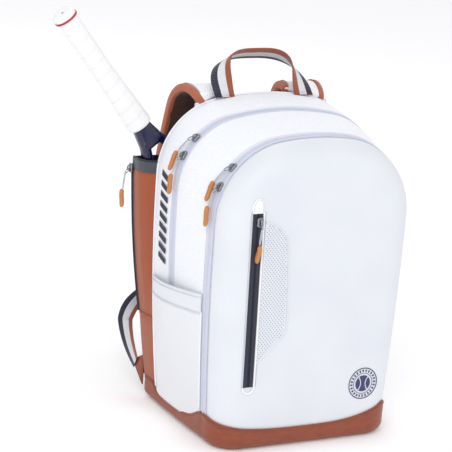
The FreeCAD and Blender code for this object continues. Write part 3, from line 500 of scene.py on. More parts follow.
def enamel(name, code, rough=0.25):
    """Sprayed paint under lacquer: deep, even colour with a clear sharp shine."""
    made, tree, shader = surface(name, code, rough, Coat_Weight=0.4, Coat_Roughness=0.08)
    peel = put(tree, NOISE, {"Vector": coordinates(tree), "Scale": 1 / 1.8, "Detail": 1.0,
                             "Roughness": 0.55}).outputs["Fac"]
    raise_by(tree, shader, [(peel, 0.01)])
    return made


def moulded(name, code, rough=0.5, **sockets):
    """Moulded rubber or plastic: even colour with a fine matte mould texture."""
    made, tree, shader = surface(name, code, rough, **sockets)
    fine = put(tree, NOISE, {"Vector": coordinates(tree), "Scale": 1 / 0.5, **GRAIN}).outputs["Fac"]
    raise_by(tree, shader, [(fine, 0.03)])
    return made


def braid(name, dark, pale, pitch=1.6):
    """Braided cord: slanting strands that cross round it."""
    made, tree, shader = surface(name, pale, 0.8, Sheen_Weight=0.2)
    place = coordinates(tree, "UV")
    turned = put(tree, "ShaderNodeMapping", {"Vector": place, "Rotation": (0, 0, math.radians(45))}).outputs[0]
    strands = weave(tree, turned, pitch)
    tint(tree, shader, dark, pale, strands, -0.7, 0.5)
    raise_by(tree, shader, [(strands, 0.2)])
    return made


TAPE_WHITE, TAPE_BROWN, TAPE_NAVY = "E9E9EE", "A2573A", "23263F"
M = {
    # The front has a soft sheen and no pattern, and its white is painted greyer than the sides', painted shade; the
    # strap's face is dotted with wide-set holes.
    "shell": shell_white_painted_shade(),
    "strap_top": pocket_mesh("perforated_strap_top", "C9CBD6", 5.0, 4.0, 0.5),
    # Brighter, matte sides: a dotted knit above, an open mesh with shaded holes on the pockets.
    "gusset": gusset_white(),
    "pocket": pocket_mesh(),
    # Warm terracotta: grained leather low down, slack woven cloth on the sleeve, darker tabs.
    "boot": leather("terracotta_leather", "813A21", "914427"),
    "sleeve": cloth("terracotta_fabric", "8F4527", "B45B36", 1.1, folds=0.8),
    "tab": leather("brown_leather", "74331D", "9A4A2C", 0.5),
    # The lighter brown edge that outlines the straps.
    "binding": cloth("brown_binding", "A85437", "C56D4A", 0.7),
    # Dark, soft insides that let the pale shells stand out.
    "lining": cloth("dark_lining", "1F2028", "34353F", 0.8, folds=0.6),
    "strap_lining": cloth("dark_brown_lining", "38190E", "552C1C", 1.0, folds=1.6),
    "collar": cloth("black_collar_lining", "17171C", "2A2A31", 1.0),
    "collar_band": cloth("grey_collar_band", "3A3C44", "565962", 1.2),
    # Zips: cool pale tapes with a coil painted greyer than them, painted shade of the slit between the tapes, and navy
    # ones that read as dark lines.
    "tape": cloth("pale_zip_tape", "D0D4E6", "DEE1F0", 0.9),
    # Painted shade: B9BCCB makes the pale coil greyer than its tapes, standing for the shadow in the zip's slit.
    "coil": moulded("zip_coil_painted_slit_shade", "B9BCCB", 0.4),
    "navy_tape": cloth("navy_zip_tape", "1B1C2B", "30324A", 0.9),
    "navy_coil": moulded("navy_zip_coil", "191A28", 0.35),
    # Small bright accents: plated sliders, pale cords and tan grips.
    "nickel": metal("bright_nickel", "8F9299", 0.24),
    "cord": braid("pale_cord", "A4A6B8", "D9DAE4"),
    "grip": moulded("tan_rubber", "C58044", 0.45),
    # Striped webbing: three bands of colour over clear ribs.
    "handle": ribbed("striped_handle_webbing", [(0, TAPE_BROWN), (0.3, TAPE_WHITE), (0.68, TAPE_NAVY)], 2.4, 16),
    "webbing": ribbed("striped_strap_webbing", [(0, TAPE_NAVY), (0.34, TAPE_WHITE), (0.76, TAPE_BROWN)], 2.0, 12.5),
    # Black, matte parts at the back: moulded buckles, open air mesh, stiff board.
    "plastic": moulded("black_plastic", "1B1B1D", 0.4),
    "airmesh": cloth("black_air_mesh", "0E0E12", "2C2D35", 2.6, deep=0.7),
    "board": moulded("stiff_board", "3A3B40", 0.8),
    # The racket: deep lacquer, pale strings, a soft white wrap and a red ring.
    "navy_paint": enamel("navy_racket_paint", "11123E"),
    "grey_paint": enamel("grey_racket_paint", "5C5E69", 0.3),
    "string": moulded("racket_string", "F0EEE4", 0.3),
    "overgrip": moulded("white_overgrip", "F1F1F1", 0.6, Subsurface_Weight=0.05, Subsurface_Scale=0.004),
    "red": moulded("red_rubber", "B3262B", 0.4),
    # Raised threads that catch the light along each seam.
    "thread": braid("white_thread", "D0D2DC", "F0F1F5", 0.8),
    "brown_thread": braid("brown_thread", "7C3A22", "B5653F", 0.8),
    # Printed and pierced marks, and the glossy white piping.
    "hole": surface("shaded_hole", "8D909E", 0.9)[0],
    "roundel": enamel("navy_roundel", "232A63", 0.3),
    "print": moulded("navy_print", "252940", 0.6),
    "piping": moulded("white_piping", "F3F4F6", 0.45),
}


# ---- Repeats, by Geometry Nodes ----

def scatter(name, points, outs, alongs, shape, material):
    """Many copies of a small shape, as one plain mesh: its Z points out and its X along, at each point."""
    cloud = bpy.data.meshes.new(name + "_points")
    cloud.from_pydata([tuple(p) for p in points], [], [])
    for key, values in (("out", outs), ("along", alongs)):
        layer = cloud.attributes.new(key, "FLOAT_VECTOR", "POINT")
        layer.data.foreach_set("vector", np.asarray(values, np.float32).ravel())
    holder = bpy.data.objects.new(name + "_holder", cloud)
    bpy.context.scene.collection.objects.link(holder)
    tree = bpy.data.node_groups.new(name + "_repeat", "GeometryNodeTree")
    tree.interface.new_socket("Points", in_out="INPUT", socket_type="NodeSocketGeometry")
    wanted = tree.interface.new_socket("Shape", in_out="INPUT", socket_type="NodeSocketObject")
    finish = tree.interface.new_socket("Finish", in_out="INPUT", socket_type="NodeSocketMaterial")
    tree.interface.new_socket("Copies", in_out="OUTPUT", socket_type="NodeSocketGeometry")
    given = put(tree, "NodeGroupInput")
    axes = [put(tree, "GeometryNodeInputNamedAttribute", {"Name": key}, data_type="FLOAT_VECTOR").outputs[0]
            for key in ("out", "along")]
    turn = put(tree, "FunctionNodeAxesToRotation", {"Primary Axis": axes[0], "Secondary Axis": axes[1]},
               primary_axis="Z", secondary_axis="X").outputs[0]
    picked = put(tree, "GeometryNodeObjectInfo", {"Object": given.outputs["Shape"]}).outputs["Geometry"]
    placed = put(tree, "GeometryNodeInstanceOnPoints",
                 {"Points": given.outputs["Points"], "Instance": picked, "Rotation": turn}).outputs[0]
    real = put(tree, "GeometryNodeRealizeInstances", {"Geometry": placed}).outputs[0]
    dressed = put(tree, "GeometryNodeSetMaterial", {"Geometry": real, "Material": given.outputs["Finish"]}).outputs[0]
    put(tree, "NodeGroupOutput", {"Copies": dressed})
    modifier = holder.modifiers.new("repeat", "NODES")
    modifier.node_group = tree
    modifier[wanted.identifier] = shape
    modifier[finish.identifier] = material
    bpy.context.view_layer.update()
    ready = holder.evaluated_get(bpy.context.evaluated_depsgraph_get())
    mesh = bpy.data.meshes.new_from_object(ready)
    mesh.name = name
    made = bpy.data.objects.new(name, mesh)
    bpy.context.scene.collection.objects.link(made)
    bpy.data.objects.remove(holder)
    bpy.data.objects.remove(shape)
    if not mesh.materials:
        mesh.materials.append(material)
    return made


def spaced(path, pitch, outs=None):
    """Evenly spaced points along a path, with their directions and their outward directions."""
    path = np.asarray(path, float)
    run = lengths(path)
    count = max(2, int(round(run[-1] / pitch)))
    at = (np.arange(count) + 0.5) * run[-1] / count
    points = resample(at, run, path)
    along = unit(resample(at + pitch * 0.2, run, path) - resample(at - pitch * 0.2, run, path))
    if outs is None:
        return points, along
    outs = np.broadcast_to(np.asarray(outs, float), path.shape)
    return points, along, unit(resample(at, run, outs))


def stitch_shape(size, thick):
    """One stitch: a thread that rises from the cloth and dips back, along X."""
    half = size / 2
    path = [(-half, 0, -thick), (-half * 0.6, 0, thick * 0.5), (0, 0, thick * 0.8),
            (half * 0.6, 0, thick * 0.5), (half, 0, -thick)]
    return make("stitch_shape", [sweep(path, round_profile(thick, thick, 6), out=(0, 0, 1))], [M["thread"]])


def stitches(name, runs, body, material="thread", pitch=3.4 * MM, thick=0.42 * MM, lift=0.1 * MM):
    """Rows of stitches along (path, outward directions) pairs, as one piece on one body."""
    points, alongs, outs = [], [], []
    for path, out in runs:
        p, a, o = spaced(path, pitch, out)
        points.append(p + o * lift)
        alongs.append(a)
        outs.append(o)
    shape = stitch_shape(pitch * 0.76, thick)
    made = scatter(name, np.concatenate(points), np.concatenate(outs), np.concatenate(alongs), shape, M[material])
    return settle(made, body)


# ---- Shells ----

SIDE_PUFF = 3 * MM              # how far the soft sides swell between their seams


def bend_arch(arch_a, arch_b, y, puff=0.0, inset=0.0, z_low=HIDDEN_FOOT):
    """The arch at depth y, pushed outward by puff times an even swell above the boot."""
    line, out = arch_line(between(arch_a, arch_b, y), inset, z_low)
    swell = ease((line[:, 2] - 0.03) / 0.12)[:, None]
    return line + out * puff * swell, out


def gusset_rows(arch_a, arch_b, y_from, y_to, puff, count, seed, roughness=1.2 * MM):
    """Rows of a fabric side: swelling between its two seams, with soft uneven waves."""
    rows = []
    for t in np.linspace(0, 1, count):
        y = y_from + (y_to - y_from) * t
        line, out = bend_arch(arch_a, arch_b, y, puff * math.sin(math.pi * t) ** 0.7)
        waves = ripple(line, 0.07, roughness * math.sin(math.pi * t), seed)
        waves = waves * ease((line[:, 2] - 0.03) / 0.06)
        rows.append(line + out * waves[:, None])
    return np.array(rows)


def front_depth(line, share):
    """Shallow dome of the front face: nothing at its edge, deepest at its middle."""
    return -2.4 * MM * ease(share) * ease((line[:, 2] - 0.02) / 0.08)


FRONT_ROUND = 38 * MM


def front_rows():
    """From the zip seam over the rounded edge to the middle of the front face."""
    rows = []
    turn_y = FRONT_Y + FRONT_ROUND
    for t in np.linspace(0, 1, 5, endpoint=False):
        rows.append(arch_line(between(FRONT_ARCH, (turn_y,) + FRONT_ARCH[1:], ZIP1_Y + (turn_y - ZIP1_Y) * t))[0])
    for turn in np.linspace(0, math.pi / 2, 14):
        arch = (turn_y - FRONT_ROUND * math.sin(turn),) + FRONT_ARCH[1:]
        rows.append(arch_line(arch, FRONT_ROUND * (1 - math.cos(turn)))[0])
    edge = rows[-1]
    top = shoulder_centre(FRONT_ARCH, FRONT_ROUND)[1] - 0.04
    spine = np.stack([edge[:, 0] * 0, edge[:, 1], np.minimum(edge[:, 2], top)], 1)
    for share in np.linspace(0, 1, 26)[1:]:
        row = edge + (spine - edge) * share
        row[:, 1] += front_depth(row, share) + ripple(row, 0.11, 0.5 * MM, 3.0) * ease(share * 3)
        rows.append(row)
    return np.array(rows)


def face_y(x, z):
    """Depth of the front face at a place on it, for parts that lie on it."""
    edge = float(side_x(FRONT_ARCH, min(z, 0.335), FRONT_ROUND))
    share = 1 - min(abs(x) / edge, 1)
    return FRONT_Y + float(front_depth(np.array([[x, 0, z]]), share)[0]) + \
        float(ripple(np.array([[x, FRONT_Y, z]]), 0.11, 0.5 * MM, 3.0)[0]) * float(ease(share * 3))


def shells():
    sheet("front_shell", [grid(front_rows())], [M["shell"], M["lining"]], (0, 0, 0.2), 2.6 * MM,
          "front_flap", ["front_panel", "front_lining"], 1, merge=1e-5)
    for name, arches, y0, y1, count, seed, middle, body, node in (
            ("mid_shell", (FRONT_ARCH, MID_ARCH), ZIP1_Y, ZIP2_Y, 13, 5.0, -0.03, "mid_section", "mid_gusset"),
            ("rear_shell", (MID_ARCH, REAR_ARCH), ZIP2_Y, SEAM_Y, 11, 9.0, 0.05, "bag", "rear_gusset")):
        rows = gusset_rows(*arches, y0, y1, SIDE_PUFF, count, seed)
        sheet(name, [grid(rows)], [M["gusset"], M["lining"]], (0, middle, 0.2), 2.2 * MM, body, [node], 1)


# ---- Zips ----

def arch_ribbon(arch_a, arch_b, y, half, thick, lift, z_low=0.018):
    """Flat ribbon lying along the arch at depth y."""
    line, out = arch_line(between(arch_a, arch_b, y), 0, z_low)
    return sweep(line + out * lift, round_profile(half, thick / 2, 12, 4), out=out)


def coil_shape(width):
    """One tooth of a zip's coil: a small rounded bar across the tape, on Y."""
    path = [(0, -width, -0.3 * MM), (0, -width * 0.5, 0.35 * MM), (0, width * 0.5, 0.35 * MM), (0, width, -0.3 * MM)]
    return make("coil_shape", [sweep(path, round_profile(0.45 * MM, 0.4 * MM, 6), out=(0, 0, 1))], [M["coil"]])


def arch_zip(name, arches, y, fore_body, fore_node, aft_body, aft_node):
    """A zip over the arch: a tape on each side with its rolled edge, and the coil between them."""
    arch_a, arch_b, arch_c = arches
    for side, body, node, pair in ((-1, fore_body, fore_node, (arch_a, arch_b)),
                                   (1, aft_body, aft_node, (arch_b, arch_c))):
        edge = y + side * 1.2 * MM
        parts = [arch_ribbon(*pair, y + side * 5 * MM, 3.9 * MM, 1.0 * MM, 0.9 * MM),
                 arch_ribbon(*pair, edge, 0.9 * MM, 1.6 * MM, 1.1 * MM),
                 arch_ribbon(*pair, y + side * 8.7 * MM, 0.8 * MM, 1.5 * MM, 0.9 * MM)]
        settle(make(node + "_ribbon", parts, [M["tape"]]), body, [node])
    line, out = arch_line(arch_b, 0, 0.02)
    points, along, outs = spaced(line, 1.5 * MM, out)
    coil = scatter(name + "_coil", points + outs * 0.4 * MM, outs, along, coil_shape(1.2 * MM), M["coil"])
    settle(coil, fore_body)
    seam = arch_line(between(arch_a, arch_b, y - 11.5 * MM), 0, 0.03)
    stitches(name + "_seam_stitches", [seam], fore_body)


def zips():
    front_edge = (FRONT_Y + FRONT_ROUND,) + FRONT_ARCH[1:]
    arch_zip("front_zip", (front_edge, FRONT_ARCH, MID_ARCH), ZIP1_Y,
             "front_flap", "front_zip_tape_fore", "mid_section", "front_zip_tape_aft")
    arch_zip("rear_zip", (FRONT_ARCH, MID_ARCH, REAR_ARCH), ZIP2_Y,
             "mid_section", "rear_zip_tape_fore", "bag", "rear_zip_tape_aft")


# ---- Boot ----

def footprint(offset, count=200):
    """Closed outline of the base seen from above: points and outward normals, from the rear middle."""
    half_x, y0, y1 = BASE_HALF, FRONT_Y, high("base_shell").y
    front_r, rear_r = FRONT_ROUND, 12 * MM
    corners = [((half_x - rear_r, y1 - rear_r), rear_r, 90), ((half_x - front_r, y0 + front_r), front_r, 0),
               ((-half_x + front_r, y0 + front_r), front_r, -90), ((-half_x + rear_r, y1 - rear_r), rear_r, -180)]
    points, normals = [(0, y1)], [(0, 1)]
    for (cx, cy), r, start in corners:
        for turn in np.radians(np.linspace(start, start - 90, 15)):
            points.append((cx + r * math.cos(turn), cy + r * math.sin(turn)))
            normals.append((math.cos(turn), math.sin(turn)))
    points, normals = np.array(points + points[:1]), np.array(normals + normals[:1])
    run = lengths(points)
    at = np.linspace(0, run[-1], count, endpoint=False)
    points, normals = resample(at, run, points), resample(at, run, normals)
    return points + normals * offset, normals


def boot_height(x, y):
    """Scalloped upper edge: high at the front zip and the front corners, low between them."""
    reach = np.where(y < ZIP1_Y, 0.065, 0.034)
    side = 0.024 + 0.023 * np.exp(-((y - ZIP1_Y) / reach) ** 2) + 0.013 * ease((y - 0.07) / 0.03)
    front = 0.030 + np.where(x < 0, 0.006, 0.014) * (np.abs(x) / 0.11) ** 3
    rear = 0.034 + 0 * x
    on_front = ease((-y - 0.100) / 0.024)
    on_rear = ease((y - 0.112) / 0.012)
    return (side * (1 - on_front) + front * on_front) * (1 - on_rear) + rear * on_rear


def side_spread(y, z):
    """How much wider the bag is at height z than at its base, at depth y."""
    arches = [FRONT_ARCH, MID_ARCH, REAR_ARCH, SLEEVE_ARCH]
    spread = np.array([[float(side_x(arch, max(h, BASE_TOP))) - BASE_HALF for arch in arches] for h in z])
    depths = [arch[0] for arch in arches]
    return np.array([np.interp(v, depths, row) for v, row in zip(y, spread)])


def boot_ring(z, offset):
    """Ring of the boot at heights z (one for each point round it)."""
    flat, normals = footprint(offset)
    tuck = np.where(z < 0.012, 0.012 - np.sqrt(np.maximum(0.012 ** 2 - (0.012 - z) ** 2, 0)), 0)
    x = flat[:, 0] - normals[:, 0] * tuck + np.sign(flat[:, 0]) * side_spread(flat[:, 1], z) * np.abs(normals[:, 0])
    y = flat[:, 1] - normals[:, 1] * tuck
    return np.stack([x, y, z], 1)


def boot():
    flat, normals = footprint(0)
    top = boot_height(flat[:, 0], flat[:, 1])
    count = len(flat)
    rings = [boot_ring(np.full(count, 1e-4), -0.03), boot_ring(np.full(count, 1e-4), 0.0)]
    for share in np.concatenate([np.linspace(0.0, 0.12, 6)[1:] ** 1.2, np.linspace(0.14, 1, 22)]):
        z = np.maximum(top * share, 1e-4)
        crease = -1.1 * MM * np.exp(-((flat[:, 1] - ZIP1_Y) / 0.0035) ** 2) * (np.abs(flat[:, 0]) > 0.13)
        swell = 2.6 * MM + 0.9 * MM * math.sin(math.pi * min(share, 1))
        ring = boot_ring(z, 0)
        n3 = np.stack([normals[:, 0], normals[:, 1], 0 * z], 1)
        waves = ripple(ring, 0.035, 0.9 * MM, 12.0) * ease(share * 2) * ease((1 - share) * 3)
        rings.append(ring + n3 * (swell * ease(share * 3) + crease * ease(share * 2) + waves)[:, None])
    edge = rings[-1]
    n3 = np.stack([normals[:, 0], normals[:, 1], np.zeros(count)], 1)
    rings.append(edge + n3 * -0.7 * MM + [0, 0, 0.5 * MM])
    rings.append(edge + n3 * -2.6 * MM + [0, 0, -0.6 * MM])
    rings.append(edge + n3 * -2.7 * MM + [0, 0, -7 * MM])
    rows = np.array(rings)
    sole = [rows[0], [list(range(count))], [np.zeros(2)] * count, 0]
    made = make("leather_boot", [grid(rows, wrap=True), sole], [M["boot"]])
    settle(made, "bag", ["base_shell"])
    line = edge + n3 * 0.25 * MM + [0, 0, -3.4 * MM]
    stitches("boot_stitches", [(np.concatenate([line, line[:1]]), np.concatenate([n3, n3[:1]]))], "bag",
             "brown_thread", pitch=4 * MM, thick=0.45 * MM)


# ---- Side pockets ----

def flank_x(y, z):
    """Half width of the bag at depths y and heights z, below the shoulders."""
    return BASE_HALF + side_spread(np.atleast_1d(y), np.atleast_1d(z))


def side_pocket(side, name):
    """Stretch-mesh pocket that stands off the bag's side, with a wide elastic hem."""
    y0, y1 = low(name).y, high(name).y
    gap = 12 * MM
    ys = np.linspace(y0, y1, 46)
    share = (ys - y0) / (y1 - y0)
    top = 0.226 - 0.013 * share

    def row(level, lift):
        z = 0.02 + (top - 0.02) * level
        swell = np.sin(math.pi * np.clip(share, 0, 1)) ** 0.55
        stand = 2.6 * MM + (gap - 1.4 * MM) * swell * float(ease(level * 1.4 - 0.12)) + lift
        line = np.stack([-(flank_x(ys, z) + stand), ys, z], 1)
        waves = ripple(line, 0.045, 1.6 * MM, 21.0) * swell * (1 - level ** 4)
        line[:, 0] -= waves
        line[:, 0] *= -side
        return line

    hem_level = 1 - 0.030 / 0.2
    body = np.array([row(level, 0) for level in np.linspace(0, hem_level + 0.02, 44)])
    hem_levels = np.linspace(hem_level, 1, 9)
    hem = np.array([row(level, 0.8 * MM + 0.5 * MM * math.sin(math.pi * i / 8))
                    for i, level in enumerate(hem_levels)])
    sheet(name + "_cloth", [grid(body), grid(hem, mat=1)], [M["pocket"], M["shell"]], (0, 0, 0.1), 1.1 * MM,
          "bag", [name], fix=False)
    out = np.array([[side, 0, 0]] * len(ys), float)
    runs = [(row(level, 1.4 * MM), out) for level in (hem_level + 0.015, 0.975)]
    stitches(name + "_stitches", runs, "bag")
    bound = [[p[0] + side * 0.8 * MM, p[1], p[2]] for p in body[:, 0] if p[2] > 0.048]
    bound_rear = [[p[0] + side * 0.8 * MM, p[1], p[2]] for p in body[:, -1] if p[2] > 0.030]
    edges = [sweep(line, round_profile(1.6 * MM, 1.0 * MM, 10), out=(side, 0, 0)) for line in (bound, bound_rear)]
    settle(make(name + "_binding", edges, [M["piping"]]), "bag")


def side_pockets():
    side_pocket(-1, "side_pocket_left")
    side_pocket(1, "side_pocket_right")


# ---- Racket sleeve ----

SLEEVE_FRONT = (SEAM_Y, SEAM_HALF, SLEEVE_FRONT_TOP, REAR_CORNER_R)
FLAP_LOW, MOUTH_LOW, MOUTH_TOP = low("sleeve_flap").z, low("collar_side").z, high("collar_side").z
MOUTH_X = -8 * MM


def arch_half(arch, z):
    """Half width of an arch at any height."""
    across, centre_z = shoulder_centre(arch)
    if z <= centre_z:
        return float(side_x(arch, z))
    crown_z = arch[2] - CROWN_R
    join = math.atan2(centre_z - crown_z, across)
    if z <= centre_z + arch[3] * math.sin(join):
        return across + math.sqrt(arch[3] ** 2 - (z - centre_z) ** 2)
    return math.sqrt(max(CROWN_R ** 2 - (z - crown_z) ** 2, 0))


def flap_line(z, lift=0.0, count=22):
    """The zipped side in plan at height z: from the seam, bowed out round the racket, to the rear wall."""
    front, rear = -float(side_x(SLEEVE_FRONT, min(z, 0.33))), -float(side_x(SLEEVE_ARCH, min(z, 0.33)))
    bulge = 18 * MM * np.clip((z - FLAP_LOW) / (MOUTH_TOP - FLAP_LOW), 0, 1)
    y0, y1 = SEAM_Y + 0.5 * MM, BACK_Y - 3 * MM
    share = np.array([0, 0.18, 0.5, 1.0])
    xs = np.array([front, front - bulge * 0.9, rear - bulge, rear - bulge * 0.95])
    t = np.linspace(0, 1, count)
    x = np.interp(t, share, xs)
    for _ in range(3):
        x[1:-1] = (x[:-2] + 2 * x[1:-1] + x[2:]) / 4
    return np.stack([x - lift, y0 + (y1 - y0) * t, np.full(count, z)], 1)


def sleeve_flap():
    def cloth_row(z):
        line = flap_line(z)
        sway = np.sin(np.linspace(0, math.pi, len(line)))
        line[:, 0] -= ripple(line, 0.05, 2.0 * MM, 31.0) * sway
        return line
    rows = np.array([cloth_row(z) for z in np.linspace(FLAP_LOW, MOUTH_LOW + 1 * MM, 40)])
    hem = np.array([flap_line(FLAP_LOW - drop * MM, 2.2 * MM) for drop in (4.0, 2.0, 0.2)])
    rows = np.concatenate([hem, rows])
    sheet("sleeve_side_cloth", [grid(rows)], [M["sleeve"], M["collar"]], (0, 0.1, 0.25), 1.8 * MM,
          "sleeve_side", ["sleeve_flap"], 1, fix=False)
    rows = np.array([flap_line(z, 0.8 * MM) for z in np.linspace(MOUTH_LOW, MOUTH_TOP, 8)])
    sheet("collar_side_band", [grid(rows)], [M["collar_band"], M["collar"]], (0, 0.1, 0.37), 2.6 * MM,
          "sleeve_side", ["collar_side"], 1, fix=False)
    roll = flap_line(MOUTH_TOP, -0.4 * MM)
    settle(make("collar_side_roll", [sweep(roll, round_profile(1.6 * MM, 1.5 * MM, 10), out=(0, 0, 1))],
                [M["collar"]]), "sleeve_side")


def sleeve_wall():
    """Terracotta side, top and rear wall of the racket sleeve, open at the mouth and at the zipped side."""
    pieces = []
    arches = [between(SLEEVE_FRONT, SLEEVE_ARCH, SEAM_Y + (BACK_Y - SEAM_Y) * t) for t in np.linspace(0, 1, 9)]
    lines = [arch_line(arch) for arch in arches]
    puff = [1.6 * MM * math.sin(math.pi * t) for t in np.linspace(0, 1, 9)]
    surface_rows = np.array([line + out * p for (line, out), p in zip(lines, puff)])
    z, x = surface_rows[4, :, 2], surface_rows[4, :, 0]
    foot = np.where((x < 0) & (z < FLAP_LOW))[0]
    rest = np.where(x >= MOUTH_X)[0]
    pieces += [grid(surface_rows[:, foot]), grid(surface_rows[:, rest])]
    rows = []
    for height in np.linspace(HIDDEN_FOOT, MOUTH_LOW, 40):
        right = arch_half(SLEEVE_ARCH, height)
        left = -right if height < FLAP_LOW else flap_line(height)[-1, 0]
        rows.append([(x, BACK_Y, height) for x in np.linspace(left, right, 30)])
    pieces.append(grid(np.array(rows)))
    rows = []
    for height in np.linspace(MOUTH_LOW, SLEEVE_ARCH[2] - 0.4 * MM, 24):
        right = arch_half(SLEEVE_ARCH, height)
        rows.append([(x, BACK_Y, height) for x in np.linspace(max(MOUTH_X, -right), right, 20)])
    pieces.append(grid(np.array(rows)))
    sheet("sleeve_wall", pieces, [M["sleeve"], M["collar"]], (0, 0.105, 0.2), 1.8 * MM,
          "bag", ["racket_sleeve"], 1, merge=2e-4)
    left = flap_line(MOUTH_TOP)[-1, 0]
    band = [[(x, BACK_Y + 0.3 * MM, z) for x in np.linspace(left, MOUTH_X, 24)]
            for z in np.linspace(MOUTH_LOW, MOUTH_TOP, 7)]
    sheet("collar_band", [grid(np.array(band))], [M["collar_band"], M["collar"]], (-0.09, 0.1, 0.37), 2.4 * MM,
          "bag", ["sleeve_collar"], 1, fix=False)
    path = [(flap_line(z)[-1, 0] + 3 * MM, BACK_Y + 0.3 * MM, z) for z in np.linspace(FLAP_LOW, MOUTH_LOW, 24)]
    tape = sweep(path, round_profile(6 * MM, 0.6 * MM, 10, 4), out=(0, 1, 0))
    settle(make("sleeve_zip_ribbon", [tape], [M["navy_tape"]]), "bag", ["sleeve_zip_tape"])
    points, along, outs = spaced(np.array(path), 1.6 * MM, (0, 1, 0))
    coil = scatter("sleeve_zip_coil", points + outs * 0.7 * MM, outs, along, coil_shape(1.5 * MM), M["navy_coil"])
    settle(coil, "bag")
    line, out = arch_line(SLEEVE_ARCH, 0, 0.03)
    keep = line[:, 0] > MOUTH_X
    settle(make("sleeve_piping", [sweep(line[keep] + out[keep] * 0.6 * MM, round_profile(1.5 * MM, 1.5 * MM, 10),
                                        out=out[keep])], [M["binding"]]), "bag")


def sleeve_seam():
    """Bound seam between the white side and the racket sleeve."""
    line, out = arch_line(REAR_ARCH, 0, 0.03)
    settle(make("rear_seam_piping", [sweep(line + out * 0.5 * MM, round_profile(1.8 * MM, 1.6 * MM, 10), out=out)],
                [M["gusset"]]), "bag")


# ---- Back ----

def cushion_rows(half_w, z0, z1, y, deep, corner, count=40):
    """Half of a cushion: rounded outline rows from its rim to its middle, swelling towards +Y."""
    turn = np.linspace(0, 2 * math.pi, count * 2, endpoint=False)
    c, s = np.cos(turn), np.sin(turn)
    power = 2 / corner
    mid = (z0 + z1) / 2
    x, z = half_w * np.sign(c) * np.abs(c) ** power, (z1 - z0) / 2 * np.sign(s) * np.abs(s) ** power
    rows = []
    for share in np.concatenate([[1.0, 1.0], np.cos(np.linspace(0.05, math.pi / 2, 22)[:-1]) ** 0.8]):
        height = 0 if not rows else deep * (1 - share ** 6) ** 0.5
        rows.append(np.stack([x * share, np.full_like(x, y + height), mid + z * share], 1))
    return np.array(rows)


INFLATE_FRAMES = 20


def inflate(piece, pinned, cap_move=0.006, pressure=4.0):
    """Fills a closed cloth cushion with air in a short cloth simulation, its back sewn down."""
    group = piece.vertex_groups.new(name="sewn")
    group.add([int(i) for i in pinned], 1.0, "REPLACE")
    before = np.array([v.co for v in piece.data.vertices])
    cloth_mod = piece.modifiers.new("cloth", "CLOTH")
    cloth_mod.settings.vertex_group_mass = "sewn"
    cloth_mod.settings.use_pressure = True
    cloth_mod.settings.uniform_pressure_force = pressure
    cloth_mod.settings.effector_weights.gravity = 0
    cloth_mod.settings.tension_stiffness = 40
    cloth_mod.settings.bending_stiffness = 2
    cloth_mod.point_cache.frame_start, cloth_mod.point_cache.frame_end = 1, INFLATE_FRAMES
    scene = bpy.context.scene
    for number in range(1, INFLATE_FRAMES + 1):
        scene.frame_set(number)
    ready = piece.evaluated_get(bpy.context.evaluated_depsgraph_get())
    after = np.array([v.co for v in ready.data.vertices])
    scene.frame_set(1)
    piece.modifiers.remove(cloth_mod)
    piece.vertex_groups.clear()
    move = after - before
    size = np.linalg.norm(move, axis=1)
    move *= np.minimum(1, cap_move / np.maximum(size, 1e-9))[:, None]
    piece.data.vertices.foreach_set("co", (before + move).astype(np.float32).ravel())
    piece.data.update()
    return piece


def back():
    thick = high("back_panel").y - BACK_Y
    rows = [arch_line((BACK_Y, ) + PANEL_ARCH[1:], 0, low("back_panel").z)[0]]
    for turn in np.linspace(0, math.pi / 2, 7):
        y = BACK_Y + thick - 5 * MM + 5 * MM * math.sin(turn)
        rows.append(arch_line((y,) + PANEL_ARCH[1:], 5 * MM * (1 - math.cos(turn)), low("back_panel").z)[0])
    edge = rows[-1]
    spine = np.stack([edge[:, 0] * 0, edge[:, 1], np.minimum(edge[:, 2], 0.33)], 1)
    for share in np.linspace(0, 1, 20)[1:]:
        row = edge + (spine - edge) * share
        channel = 1.2 * MM * np.exp(-(row[:, 0] / 0.012) ** 2)
        row[:, 1] -= channel * 0.5
        rows.append(row)
    sheet("back_panel_cloth", [grid(np.array(rows))], [M["airmesh"]], (0, BACK_Y, 0.2), 2 * MM,
          "bag", ["back_panel"])
    z0, z1 = low("back_pads").z, high("back_pads").z
    y0, deep = low("back_pads").y, high("back_pads").y - low("back_pads").y
    for side, name in ((-1, "left"), (1, "right")):
        rows = cushion_rows(46 * MM, z0 + 1 * MM, z1 - 1 * MM, y0, deep * 0.72, 3.0)
        rows[:, :, 0] += side * 61 * MM
        under = rows[:1].repeat(2, 0).copy()
        under[0] = rows[0].mean(0) + (rows[0] - rows[0].mean(0)) * 0.02
        pad = make("back_pad_" + name, [grid(rows, wrap=True), grid(under, wrap=True)], [M["airmesh"]], merge=1e-5)
        pinned = [v.index for v in pad.data.vertices if v.co.y < y0 + 0.5 * MM]
        inflate(pad, pinned, 3 * MM)
        soften(pad)
        settle(pad, "bag", ["back_pads"] if side < 0 else [])
        centre = rows[0].mean(0)
        rim = (rows[0] - centre) * 1.01 + centre + [0, 0.8 * MM, 0]
        piping = sweep(rim, round_profile(1.4 * MM, 1.4 * MM, 8), closed=True)
        settle(make("back_pad_piping_" + name, [piping], [M["lining"]]), "bag")


# ---- Straps ----

STRAP_LENGTH, STRAP_FOLD, FOLD_R = 0.352, (38.0, -80.0), 0.042


